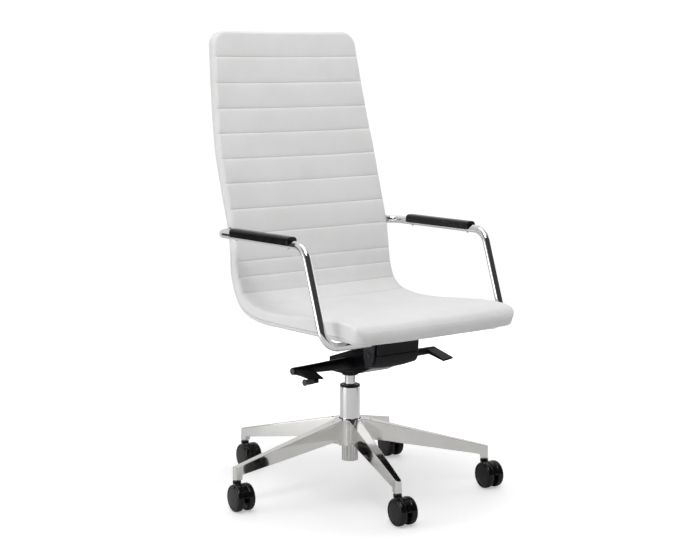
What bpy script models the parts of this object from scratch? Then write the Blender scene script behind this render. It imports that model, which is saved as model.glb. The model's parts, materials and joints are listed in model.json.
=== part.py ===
"""High-back swivel office chair: five-arm castor base, gas column, knee-tilt mechanism,
one-piece upholstered shell and two tubular armrests. Metres, +Z up, the chair faces -Y.
"""
import math

import bmesh
import bpy
from mathutils import Matrix, Vector

GAP = 0.0003                    # clearance between touching pieces
RUN = 0.0003                    # running clearance, radial

# Column axis, placed so that the origin is the middle of the chair's footprint
COLUMN_X = 0.033
COLUMN_Y = 0.019

# Star base
ARM_COUNT = 5
FIRST_ARM_ANGLE = math.radians(-19.5)   # from -Y towards +X
BOSS_RADIUS_AT = 0.341                  # column axis to castor stem
BOSS_R = 0.0098
BOSS_BOTTOM_Z = 0.0716
ARM_TIP = 0.350
ARM_CORNER = 0.3445
ARM_ROOT = 0.027
ARM_TOP_Z0 = 0.185                      # top face height at the axis, before the slope
ARM_TOP_SLOPE = 0.236
ARM_LOW_Z0 = 0.133
ARM_LOW_SLOPE = 0.153
ARM_HALF_W0 = 0.0142
ARM_HALF_TAPER = 0.020
ARM_DRAFT = 0.10                        # sideways growth per unit of depth
HUB_R = 0.030
HUB_TOP_Z = 0.1765
HUB_BOTTOM_Z = 0.110
SLEEVE_R = 0.020
SLEEVE_RIB = 0.0013
SLEEVE_RIBS = 16
SLEEVE_BOTTOM_Z = 0.064

# Twin-wheel castors
CASTER_HEADING = math.radians(-7.1)
WHEEL_R = 0.0335
WHEEL_SIDES = 24
WHEEL_INNER_X = 0.0062
WHEEL_W = 0.0172
CASTER_TRAIL = 0.022
AXLE_Z = WHEEL_R * math.cos(math.pi / WHEEL_SIDES)
AXLE_R = 0.003
AXLE_HALF = 0.0172
WEB_HALF = 0.0055
WEB_R = 0.0322
WEB_LOW_Z = 0.012
COLLAR_R = 0.0105
COLLAR_LOW_Z = 0.0665
COLLAR_TOP_Z = 0.0692
STEM_R = 0.0055
STEM_PIN_R = 0.0035
STEM_PIN_BOTTOM_Z = 0.042
STEM_TOP_Z = 0.0975

# Gas column
TUBE_R = 0.025
TUBE_WALL = 0.0025
TUBE_TOP_Z = 0.258
TUBE_STEP_Z = 0.1125
TAIL_R = 0.0155
TAIL_WALL = 0.002
TAIL_BOTTOM_Z = 0.0745
FLOOR_T = 0.004
GUIDE_BOTTOM_Z = 0.185
GUIDE_TOP_Z = 0.264
CYLINDER_R = 0.014
CYLINDER_BOTTOM_Z = 0.118
CYLINDER_TOP_Z = 0.336
ROD_R = 0.004
ROD_TOP_Z = 0.240
ROD_BOTTOM_Z = 0.067
VALVE_R = 0.004
VALVE_TOP_Z = 0.3405
VALVE_BOTTOM_Z = 0.310

# Mechanism
HOUSING_HALF = 0.045
HOUSING_WALL = 0.004
SOCKET_R = 0.021
SOCKET_BOTTOM_Z = 0.288
HOUSING_FRONT_Y = -0.137
HOUSING_REAR_Y = 0.026
PIVOT_Y = -0.161
PIVOT_Z = 0.3665
PIVOT_HALF = 0.0645
PIN_R = 0.006
EAR_R = 0.0225
EAR_IN = 0.0660
EAR_OUT = 0.0720
SEAT_UNDERSIDE_Z = 0.4358                # flat middle of the rear cover, under the seat
PLATE_TOP_Z = SEAT_UNDERSIDE_Z - GAP
PLATE_T = 0.004
PLATE_HALF = 0.085
PLATE_FRONT_Y = -0.188
PLATE_REAR_Y = 0.090
FLANGE_LOW_Z = 0.412
FLANGE_T = 0.003
LEVER_Y = -0.060
LEVER_Z = 0.333
LEVER_LEFT = -0.226
LEVER_RIGHT = 0.230
LEVER_CORE_R = 0.0055
PADDLE_T = 0.006
PADDLE_DROP = 0.022
PADDLE_REACH = 0.060
KNOB_X = -0.2168
KNOB_Y = -0.1165
KNOB_Z = 0.3155
KNOB_HALF = 0.0150
KNOB_R = 0.0062
SPIGOT_R = 0.0016
SPIGOT_END_X = -0.1900

# Upholstered shell, side view: sitting surface (y, z) and the outer face behind it
SHELL_LINE = [
    (-0.345, 0.4570, -0.336, 0.4325),
    (-0.321, 0.4775, -0.300, 0.4362),
    (-0.255, 0.483, -0.252, 0.4360),
    (-0.160, 0.477, -0.162, 0.4360),
    (-0.030, 0.468, -0.033, 0.4360),
    (0.050, 0.4715, 0.062, 0.4405),
    (0.108, 0.492, 0.128, 0.4650),
    (0.134, 0.541, 0.1665, 0.5330),
    (0.150, 0.646, 0.1775, 0.6410),
    (0.185, 0.769, 0.212, 0.7620),
    (0.218, 0.891, 0.2445, 0.8845),
    (0.243, 1.015, 0.2700, 1.0100),
    (0.266, 1.146, 0.2915, 1.1418),
]
SHELL_STEPS = 4
SHELL_HALF = 0.247
SHELL_TOP_HALF = 0.224
TAPER_START_Z = 0.850
NOSE_CORNER = 0.026
TOP_CORNER = 0.036
SHELL_COLUMNS = (-1.0, -0.955, -0.55, 0.0, 0.55, 0.955, 1.0)   # share of the half width
EDGE_DROP = 0.003
SEAT_DISH = 0.003
BACK_DISH = 0.010
REAR_DISH = 0.006
NOSE_BELLY = 0.006                      # how far the nose hangs lower in the middle
NOSE_RUN = 0.045
CORE_T = 0.010
CORE_BACKING = 0.0107                   # padding behind the core
CORE_INSET = 0.004

# Armrests
ARM_X = 0.2810
ARM_TUBE_R = 0.010
ARM_Z = 0.6505
ARM_BEND_Y = -0.190
LEG_FOOT_Y = -0.262
LEG_FOOT_Z = 0.4235
ARM_FRONT_BEND_R = 0.045
ARM_FOOT_BEND_R = 0.040
ARM_REAR_BEND_R = 0.027
FOOT_END_X = 0.150
PAD_FRONT_Y = -0.139
PAD_REAR_Y = 0.103
PAD_HALF = 0.015
PAD_TOP = 0.0180                        # above the tube's centre line
PAD_SKIRT = 0.0025                      # below the tube's centre line
PAD_SCREW_YS = (-0.125, 0.087)
STUD_R = 0.004

CHROME = ((0.80, 0.80, 0.81), 0.08, 1.0)
POLISHED = ((0.74, 0.74, 0.75), 0.16, 1.0)
STEEL = ((0.45, 0.45, 0.46), 0.35, 1.0)
BLACK_PLASTIC = ((0.02, 0.02, 0.022), 0.38, 0.0)
BLACK_METAL = ((0.03, 0.03, 0.033), 0.32, 0.4)
LEATHER = ((0.84, 0.84, 0.83), 0.45, 0.0)
PLYWOOD = ((0.62, 0.47, 0.30), 0.60, 0.0)


def clear_scene():
    for item in list(bpy.data.objects):
        bpy.data.objects.remove(item)


def material(name, look):
    """Principled material from a (colour, roughness, metallic) triple."""
    colour, roughness, metallic = look
    result = bpy.data.materials.new(name)
    result.use_nodes = True
    shader = result.node_tree.nodes["Principled BSDF"]
    shader.inputs["Base Color"].default_value = (*colour, 1.0)
    shader.inputs["Roughness"].default_value = roughness
    shader.inputs["Metallic"].default_value = metallic
    return result


def empty(name, location, parent=None, turn_z=0.0):
    result = bpy.data.objects.new(name, None)
    bpy.context.collection.objects.link(result)
    result.location = location
    result.rotation_euler = (0.0, 0.0, turn_z)
    result.parent = parent
    return result


def mesh_from(bm, name):
    bmesh.ops.recalc_face_normals(bm, faces=bm.faces[:])
    mesh = bpy.data.meshes.new(name)
    bm.to_mesh(mesh)
    bm.free()
    mesh.shade_smooth()
    mesh.set_sharp_from_angle(angle=math.radians(32))
    return mesh


def place(name, mesh, parent, look=None, location=(0, 0, 0), rotation=(0, 0, 0)):
    """Link a named object; look is None for a guide that only cuts or joins."""
    result = bpy.data.objects.new(name, mesh)
    bpy.context.collection.objects.link(result)
    result.parent = parent
    result.location = location
    result.rotation_euler = rotation
    if look is None:
        result.hide_render = True
        result.display_type = "WIRE"
    else:
        mesh.materials.clear()
        mesh.materials.append(material(name, look))
    return result


def boolean(target, tool, operation):
    modifier = target.modifiers.new(tool.name, "BOOLEAN")
    modifier.operation = operation
    modifier.object = tool
    return modifier


def applied_mesh(target):
    """The target's mesh with its modifiers applied, as a new mesh."""
    bpy.context.view_layer.update()
    graph = bpy.context.evaluated_depsgraph_get()
    return bpy.data.meshes.new_from_object(target.evaluated_get(graph))


def lathe(profile, sides, phase=0.0):
    """Turn (radius, height) points about Z; radius 0 makes a pole, else the loop closes."""
    bm = bmesh.new()
    rings = []
    for radius, height in profile:
        if radius == 0.0:
            rings.append([bm.verts.new((0.0, 0.0, height))])
            continue
        angles = [phase + 2 * math.pi * i / sides for i in range(sides)]
        rings.append([bm.verts.new((radius * math.cos(a), radius * math.sin(a), height))
                      for a in angles])
    pairs = list(zip(rings, rings[1:]))
    if len(rings[0]) > 1:
        pairs.append((rings[-1], rings[0]))
    for low, high in pairs:
        for i in range(sides):
            j = (i + 1) % sides
            corners = [low[i % len(low)], low[j % len(low)],
                       high[j % len(high)], high[i % len(high)]]
            bm.faces.new(list(dict.fromkeys(corners)))
    return bm


def prism(outline, start, end, axis="X"):
    """Extrude a closed outline of (u, v) points along X (u=y, v=z), Y (x, z) or Z (x, y)."""
    bm = bmesh.new()
    put = {"X": lambda u, v, w: (w, u, v),
           "Y": lambda u, v, w: (u, w, v),
           "Z": lambda u, v, w: (u, v, w)}[axis]
    low = [bm.verts.new(put(u, v, start)) for u, v in outline]
    high = [bm.verts.new(put(u, v, end)) for u, v in outline]
    bm.faces.new(low)
    bm.faces.new(high)
    count = len(outline)
    for i in range(count):
        j = (i + 1) % count
        bm.faces.new((low[i], low[j], high[j], high[i]))
    return bm


def merge(into, other, matrix=None):
    """Copy another bmesh's faces into one, as separate bodies."""
    other.verts.index_update()
    verts = [into.verts.new(matrix @ v.co if matrix else v.co) for v in other.verts]
    for face in other.faces:
        into.faces.new([verts[v.index] for v in face.verts])
    other.free()


def arc(centre_u, centre_v, radius, start, end, steps):
    """Points on a circular arc, angles in degrees."""
    angles = [math.radians(start + (end - start) * i / steps) for i in range(steps + 1)]
    return [(centre_u + radius * math.cos(a), centre_v + radius * math.sin(a)) for a in angles]


def cylinder(radius, low, high, sides):
    return lathe([(0.0, low), (radius, low), (radius, high), (0.0, high)], sides)


def bent_path(corners, radii, steps):
    """Polyline through the corners with each inner corner rounded to its radius."""
    corners = [Vector(c) for c in corners]
    points = [corners[0]]
    for before, here, after, radius in zip(corners, corners[1:], corners[2:], radii):
        back = (before - here).normalized()
        ahead = (after - here).normalized()
        half = back.angle(ahead) / 2
        reach = radius / math.tan(half)
        centre = here + (back + ahead).normalized() * (radius / math.sin(half))
        first = here + back * reach - centre
        last = here + ahead * reach - centre
        sweep = first.angle(last)
        for i in range(steps + 1):
            t = i / steps
            blend = (first * math.sin((1 - t) * sweep) + last * math.sin(t * sweep))
            points.append(centre + blend / math.sin(sweep))
    points.append(corners[-1])
    return points


def tube_mesh(points, radius, sides):
    """Round bar along a polyline, with flat closed ends."""
    bm = bmesh.new()
    tangent = (points[1] - points[0]).normalized()
    normal = tangent.orthogonal().normalized()
    rings = []
    for i, point in enumerate(points):
        ahead = points[min(i + 1, len(points) - 1)]
        behind = points[max(i - 1, 0)]
        turn = tangent.rotation_difference((ahead - behind).normalized())
        tangent = turn @ tangent
        normal = (turn @ normal).normalized()
        side = tangent.cross(normal)
        angles = [2 * math.pi * k / sides for k in range(sides)]
        rings.append([bm.verts.new(point + radius * (math.cos(a) * normal + math.sin(a) * side))
                      for a in angles])
    bm.faces.new(rings[0])
    bm.faces.new(rings[-1])
    for low, high in zip(rings, rings[1:]):
        for k in range(sides):
            j = (k + 1) % sides
            bm.faces.new((low[k], low[j], high[j], high[k]))
    return bm


# ---------------------------------------------------------------- star base

def arm_angle(index):
    """Plan angle of an arm, from +X anticlockwise."""
    return FIRST_ARM_ANGLE + 2 * math.pi * index / ARM_COUNT - math.pi / 2


def boss_position(index):
    angle = arm_angle(index)
    return (BOSS_RADIUS_AT * math.cos(angle), BOSS_RADIUS_AT * math.sin(angle), 0.0)


def arm_section(along, squeeze=1.0):
    """Trapezoid across an arm: flat top, drafted sides."""
    top = min(ARM_TOP_Z0 - ARM_TOP_SLOPE * along, HUB_TOP_Z - 0.0005)
    low = ARM_LOW_Z0 - ARM_LOW_SLOPE * along
    half_top = (ARM_HALF_W0 - ARM_HALF_TAPER * along) * squeeze
    half_low = half_top + ARM_DRAFT * (top - low)
    return [Vector((along, -half_low, low)), Vector((along, half_low, low)),
            Vector((along, half_top, top)), Vector((along, -half_top, top))]


def star_arm():
    crown = (ARM_TOP_Z0 - HUB_TOP_Z) / ARM_TOP_SLOPE
    stations = [(ARM_ROOT, 1.0), (crown, 1.0), (ARM_CORNER, 1.0), (ARM_TIP, 0.5)]
    bm = bmesh.new()
    rings = [[bm.verts.new(p) for p in arm_section(s, q)] for s, q in stations]
    bm.faces.new(rings[0])
    bm.faces.new(rings[-1])
    for low, high in zip(rings, rings[1:]):
        for i in range(4):
            bm.faces.new((low[i], low[(i + 1) % 4], high[(i + 1) % 4], high[i]))
    return bm


def ribbed_sleeve():
    count = 2 * SLEEVE_RIBS
    radii = [SLEEVE_R - (SLEEVE_RIB if i % 2 else 0.0) for i in range(count)]
    angles = [2 * math.pi * i / count for i in range(count)]
    outline = [(r * math.cos(a), r * math.sin(a)) for r, a in zip(radii, angles)]
    return prism(outline, SLEEVE_BOTTOM_Z, HUB_BOTTOM_Z + 0.004, "Z")


def star_base(parent):
    arms = bmesh.new()
    bosses = bmesh.new()
    sockets = bmesh.new()
    for index in range(ARM_COUNT):
        turn = Matrix.Rotation(arm_angle(index), 4, "Z")
        at_boss = turn @ Matrix.Translation((BOSS_RADIUS_AT, 0.0, 0.0))
        merge(arms, star_arm(), turn)
        merge(bosses, cylinder(BOSS_R, BOSS_BOTTOM_Z, 0.092, 20), at_boss)
        merge(sockets, cylinder(STEM_R + RUN, 0.05, STEM_TOP_Z + 0.001, 16), at_boss)
    hub = cylinder(HUB_R, HUB_BOTTOM_Z, HUB_TOP_Z, 40)
    bore = lathe([(0.0, 0.05), (TAIL_R + GAP, 0.05), (TAIL_R + GAP, TUBE_STEP_Z - GAP),
                  (TUBE_R + GAP, TUBE_STEP_Z - GAP), (TUBE_R + GAP, 0.2), (0.0, 0.2)], 40)
    base = place("star_base", mesh_from(hub, "star_base"), parent, POLISHED)
    boolean(base, place("arms_guide", mesh_from(arms, "arms"), parent), "UNION")
    boolean(base, place("bosses_guide", mesh_from(bosses, "bosses"), parent), "UNION")
    boolean(base, place("sleeve_guide", mesh_from(ribbed_sleeve(), "sleeve"), parent), "UNION")
    boolean(base, place("bore_guide", mesh_from(bore, "bore"), parent), "DIFFERENCE")
    boolean(base, place("sockets_guide", mesh_from(sockets, "sockets"), parent), "DIFFERENCE")


# ---------------------------------------------------------------- castors

def wheel_mesh():
    """Wheel about local Z, inner face at the low end, with a blind axle bore."""
    outer = WHEEL_INNER_X + WHEEL_W
    bore = AXLE_R + RUN
    profile = [(0.0, AXLE_HALF + 0.0008), (bore, AXLE_HALF + 0.0008), (bore, WHEEL_INNER_X),
               (0.0300, WHEEL_INNER_X), (WHEEL_R, WHEEL_INNER_X + 0.0030),
               (WHEEL_R, outer - 0.0040), (0.0312, outer - 0.0006), (0.0262, outer),
               (0.0250, outer - 0.0012), (0.0, outer - 0.0012)]
    return lathe(profile, WHEEL_SIDES, math.pi / WHEEL_SIDES)


def hood_mesh(parent):
    """Web between the wheels with a neck and collar round the stem."""
    web = [(-CASTER_TRAIL + u, max(AXLE_Z + v, WEB_LOW_Z))
           for u, v in arc(0.0, 0.0, WEB_R, 0, 360, 28)[:-1]]
    web = list(dict.fromkeys((round(u, 6), round(v, 6)) for u, v in web))
    body = place("hood_guide", mesh_from(prism(web, -WEB_HALF, WEB_HALF), "web"), parent)
    neck = prism([(-0.011, 0.035), (0.0085, 0.035), (0.0085, COLLAR_LOW_Z + 0.001),
                  (-0.011, COLLAR_LOW_Z + 0.001)], -WEB_HALF - 0.0001, WEB_HALF + 0.0001)
    collar = cylinder(COLLAR_R, COLLAR_LOW_Z, COLLAR_TOP_Z, 20)
    pin = cylinder(STEM_PIN_R + RUN, STEM_PIN_BOTTOM_Z - 0.001, 0.09, 14)
    axle = cylinder(AXLE_R + RUN, -0.03, 0.03, 14)
    across = Matrix.Translation((0, -CASTER_TRAIL, AXLE_Z)) @ Matrix.Rotation(math.pi / 2, 4, "Y")
    cross = bmesh.new()
    merge(cross, axle, across)
    for bm, name, operation in ((neck, "neck", "UNION"), (collar, "collar", "UNION"),
                                (pin, "pin", "DIFFERENCE"), (cross, "cross", "DIFFERENCE")):
        boolean(body, place(name + "_guide", mesh_from(bm, name), parent), operation)
    return applied_mesh(body)


def castors(parent):
    wheel = mesh_from(wheel_mesh(), "wheel")
    hood = hood_mesh(parent)
    stem = mesh_from(lathe([(0.0, STEM_PIN_BOTTOM_Z), (STEM_PIN_R, STEM_PIN_BOTTOM_Z),
                            (STEM_PIN_R, COLLAR_TOP_Z + GAP), (STEM_R, COLLAR_TOP_Z + GAP),
                            (STEM_R, STEM_TOP_Z), (0.0, STEM_TOP_Z)], 14), "stem")
    axle = mesh_from(cylinder(AXLE_R, -AXLE_HALF, AXLE_HALF, 12), "axle")
    hub = (0.0, -CASTER_TRAIL, AXLE_Z)
    for index in range(ARM_COUNT):
        label = str(index + 1)
        swivel = empty("caster_swivel_" + label, boss_position(index), parent, CASTER_HEADING)
        place("caster_stem_" + label, stem.copy(), swivel, STEEL)
        place("caster_hood_" + label, hood.copy(), swivel, BLACK_PLASTIC)
        place("caster_axle_" + label, axle.copy(), swivel, STEEL, hub, (0, math.pi / 2, 0))
        place("caster_wheel_left_" + label, wheel.copy(), swivel, BLACK_PLASTIC,
              hub, (0, math.pi / 2, 0))
        place("caster_wheel_right_" + label, wheel.copy(), swivel, BLACK_PLASTIC,
              hub, (0, -math.pi / 2, 0))


# ---------------------------------------------------------------- gas column

def gas_column(parent):
    tube_in = TUBE_R - TUBE_WALL
    tail_in = TAIL_R - TAIL_WALL
    hole = ROD_R + RUN
    floor_top = TAIL_BOTTOM_Z + FLOOR_T
    tube = [(hole, TAIL_BOTTOM_Z), (TAIL_R, TAIL_BOTTOM_Z), (TAIL_R, TUBE_STEP_Z),
            (TUBE_R, TUBE_STEP_Z), (TUBE_R, TUBE_TOP_Z), (tube_in, TUBE_TOP_Z),
            (tube_in, TUBE_STEP_Z + 0.003), (tail_in, TUBE_STEP_Z + 0.003),
            (tail_in, floor_top), (hole, floor_top)]
    place("column_tube", mesh_from(lathe(tube, 32), "tube"), parent, CHROME)

    guide_in = CYLINDER_R + RUN
    guide_out = tube_in - GAP
    collar_z = TUBE_TOP_Z + GAP
    guide = [(guide_in, GUIDE_BOTTOM_Z), (guide_out, GUIDE_BOTTOM_Z), (guide_out, collar_z),
             (TUBE_R + 0.0005, collar_z), (TUBE_R + 0.0005, GUIDE_TOP_Z - 0.001),
             (TUBE_R - 0.0010, GUIDE_TOP_Z), (guide_in, GUIDE_TOP_Z)]
    place("column_guide", mesh_from(lathe(guide, 32), "guide"), parent, BLACK_PLASTIC)

    place("piston_rod", mesh_from(cylinder(ROD_R, ROD_BOTTOM_Z, ROD_TOP_Z, 14), "rod"),
          parent, STEEL)
    bearing_low = floor_top + GAP
    bearing = [(hole, bearing_low), (tail_in - 0.001, bearing_low),
               (tail_in - 0.001, bearing_low + 0.006), (hole, bearing_low + 0.006)]
    place("thrust_bearing", mesh_from(lathe(bearing, 24), "bearing"), parent, STEEL)
    clip = [(hole, TAIL_BOTTOM_Z - GAP - 0.002), (0.0095, TAIL_BOTTOM_Z - GAP - 0.002),
            (0.0095, TAIL_BOTTOM_Z - GAP), (hole, TAIL_BOTTOM_Z - GAP)]
    place("rod_clip", mesh_from(lathe(clip, 20), "clip"), parent, STEEL)

    bore_top = ROD_TOP_Z + 0.010
    rod_bore = ROD_R + RUN
    valve_bore = VALVE_R + RUN
    cylinder_profile = [(0.0, bore_top), (rod_bore, bore_top), (rod_bore, CYLINDER_BOTTOM_Z),
                        (CYLINDER_R - 0.001, CYLINDER_BOTTOM_Z),
                        (CYLINDER_R, CYLINDER_BOTTOM_Z + 0.002), (CYLINDER_R, SOCKET_BOTTOM_Z),
                        (CYLINDER_R - 0.0012, CYLINDER_TOP_Z), (valve_bore, CYLINDER_TOP_Z),
                        (valve_bore, VALVE_BOTTOM_Z - 0.006), (0.0, VALVE_BOTTOM_Z - 0.006)]
    place("gas_cylinder", mesh_from(lathe(cylinder_profile, 28), "cylinder"), parent, CHROME)
    place("valve_button", mesh_from(cylinder(VALVE_R, VALVE_BOTTOM_Z, VALVE_TOP_Z, 12), "valve"),
          parent, STEEL)


# ---------------------------------------------------------------- mechanism

def housing_outline(inset):
    """Side view of the boat-shaped housing; a positive inset gives its hollow."""
    front = HOUSING_FRONT_Y + inset
    rear = HOUSING_REAR_Y - inset
    floor = [(rear, 0.300 + inset), (-0.035, 0.300 + inset), (-0.095, 0.311 + inset),
             (front, 0.329 + inset)]
    if inset:
        return floor + [(front, 0.45), (rear, 0.45)]
    return floor + [(front, 0.388), (rear, 0.336)]


def mechanism_housing(parent):
    body = place("mechanism_housing", mesh_from(
        prism(housing_outline(0.0), -HOUSING_HALF, HOUSING_HALF), "housing"), parent, BLACK_METAL)
    inner_half = HOUSING_HALF - HOUSING_WALL
    hollow = prism(housing_outline(HOUSING_WALL), -inner_half, inner_half)
    socket = cylinder(SOCKET_R, SOCKET_BOTTOM_Z, 0.3325, 28)
    bore = cylinder(CYLINDER_R + RUN, 0.27, 0.35, 28)
    shaft = bmesh.new()
    merge(shaft, cylinder(LEVER_CORE_R + RUN, -0.06, 0.06, 16),
          Matrix.Translation((0, LEVER_Y, LEVER_Z)) @ Matrix.Rotation(math.pi / 2, 4, "Y"))
    for bm, name, operation in ((hollow, "hollow", "DIFFERENCE"), (socket, "socket", "UNION"),
                                (bore, "socket_bore", "DIFFERENCE"),
                                (shaft, "shaft_bore", "DIFFERENCE")):
        boolean(body, place(name + "_guide", mesh_from(bm, name), parent), operation)


def pivot_housing(parent):
    """Front cross block: glossy upper band, groove, lower nose curving under."""
    rear = HOUSING_FRONT_Y - GAP
    front = -0.1865
    outline = [(rear, 0.3895)]
    outline += arc(-0.1790, 0.3825, 0.007, 90, 180, 4)
    outline += [(-0.1860, 0.3690), (-0.1842, 0.3680), (-0.1842, 0.3660), (front, 0.3650)]
    outline += arc(-0.1690, 0.3600, 0.0175, 180, 262, 6)
    outline += [(rear, 0.3400)]
    body = place("pivot_housing", mesh_from(
        prism(outline, -PIVOT_HALF, PIVOT_HALF), "pivot_housing"), parent, BLACK_METAL)
    bore = bmesh.new()
    merge(bore, cylinder(0.0150, -0.08, 0.08, 24), pivot_frame())
    boolean(body, place("spring_bore_guide", mesh_from(bore, "spring_bore"), parent), "DIFFERENCE")


def pivot_frame():
    return Matrix.Translation((0, PIVOT_Y, PIVOT_Z)) @ Matrix.Rotation(math.pi / 2, 4, "Y")


def tilt_spring_points():
    """Torsion spring helix about the pivot pin, with a turn every 10 mm."""
    coil_r = 0.0110
    turns = 9
    pitch = 0.010
    per_turn = 10
    start = -turns * pitch / 2
    points = []
    for i in range(turns * per_turn + 1):
        angle = 2 * math.pi * i / per_turn
        points.append(Vector((start + pitch * i / per_turn,
                              PIVOT_Y + coil_r * math.cos(angle),
                              PIVOT_Z + coil_r * math.sin(angle))))
    return points


def seat_carrier(parent):
    """Pressed plate under the seat with two round ears that hold the pivot pin."""
    low = PLATE_TOP_Z - PLATE_T
    plate = prism([(-PLATE_HALF, PLATE_FRONT_Y), (PLATE_HALF, PLATE_FRONT_Y),
                   (PLATE_HALF, 0.060), (PLATE_HALF - 0.03, PLATE_REAR_Y),
                   (-PLATE_HALF + 0.03, PLATE_REAR_Y), (-PLATE_HALF, 0.060)],
                  low, PLATE_TOP_Z, "Z")
    body = place("seat_carrier", mesh_from(plate, "carrier"), parent, BLACK_METAL)
    flanges = bmesh.new()
    for edge in (-PLATE_HALF, PLATE_HALF - FLANGE_T):
        merge(flanges, prism([(PLATE_FRONT_Y, FLANGE_LOW_Z), (0.060, FLANGE_LOW_Z),
                              (0.060, low + 0.001), (PLATE_FRONT_Y, low + 0.001)],
                             edge, edge + FLANGE_T))
    boolean(body, place("side_flanges_guide", mesh_from(flanges, "flanges"), parent), "UNION")
    ear = [(PIVOT_Y + EAR_R, low + 0.001), (PIVOT_Y - EAR_R, low + 0.001)]
    ear += arc(PIVOT_Y, PIVOT_Z, EAR_R, 180, 360, 12)
    ears = bmesh.new()
    merge(ears, prism(ear, EAR_IN, EAR_OUT))
    merge(ears, prism(ear, -EAR_OUT, -EAR_IN))
    bores = bmesh.new()
    merge(bores, cylinder(PIN_R + RUN, -0.09, 0.09, 16), pivot_frame())
    for x, y in carrier_bolt_spots():
        merge(bores, cylinder(0.0033, low - 0.01, PLATE_TOP_Z + 0.01, 12),
              Matrix.Translation((x, y, 0)))
    boolean(body, place("ears_guide", mesh_from(ears, "ears"), parent), "UNION")
    boolean(body, place("bores_guide", mesh_from(bores, "bores"), parent), "DIFFERENCE")


def carrier_bolt_spots():
    return [(x, y) for y in (-0.120, 0.045) for x in (-0.062, 0.062)]


def carrier_bolts(parent):
    low = PLATE_TOP_Z - PLATE_T
    bolt = lathe([(0.0, low - 0.0045), (0.0060, low - 0.0045), (0.0060, low - GAP),
                  (0.0030, low - GAP), (0.0030, PLATE_TOP_Z), (0.0, PLATE_TOP_Z)], 12)
    mesh = mesh_from(bolt, "carrier_bolt")
    for index, (x, y) in enumerate(carrier_bolt_spots()):
        place("carrier_bolt_" + str(index + 1), mesh.copy(), parent, STEEL, (x, y, 0))


def lever_sleeve(outer_x, inner_x, outer_r, inner_r):
    """Tapered sleeve about the lever axis, from the paddle towards the housing."""
    sleeve = bmesh.new()
    turned = lathe([(0.0, inner_x), (inner_r, inner_x), (outer_r, outer_x), (0.0, outer_x)], 20)
    merge(sleeve, turned, lever_frame())
    return sleeve


def lever_frame():
    return Matrix.Translation((0, LEVER_Y, LEVER_Z)) @ Matrix.Rotation(math.pi / 2, 4, "Y")


def knob_frame():
    return (Matrix.Translation((0, KNOB_Y, KNOB_Z)) @ Matrix.Rotation(math.pi / 2, 4, "Y"))


def paddle(low_x, high_x, flare):
    """Flat handle from the lever axis forwards and down, slightly skewed outwards."""
    top = LEVER_Z + 0.0075
    tip_y = LEVER_Y - PADDLE_REACH
    tip = top - PADDLE_DROP
    bm = bmesh.new()
    rings = []
    for y, z, shift in ((LEVER_Y + 0.006, top, 0.0), (LEVER_Y - 0.008, top - 0.001, 0.0),
                        (tip_y, tip, flare)):
        rings.append([bm.verts.new((x + shift, y, h))
                      for x, h in ((low_x, z - PADDLE_T), (high_x, z - PADDLE_T),
                                   (high_x, z), (low_x, z))])
    bm.faces.new(rings[0])
    bm.faces.new(rings[-1])
    for a, b in zip(rings, rings[1:]):
        for i in range(4):
            bm.faces.new((a[i], a[(i + 1) % 4], b[(i + 1) % 4], b[i]))
    return bm


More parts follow.
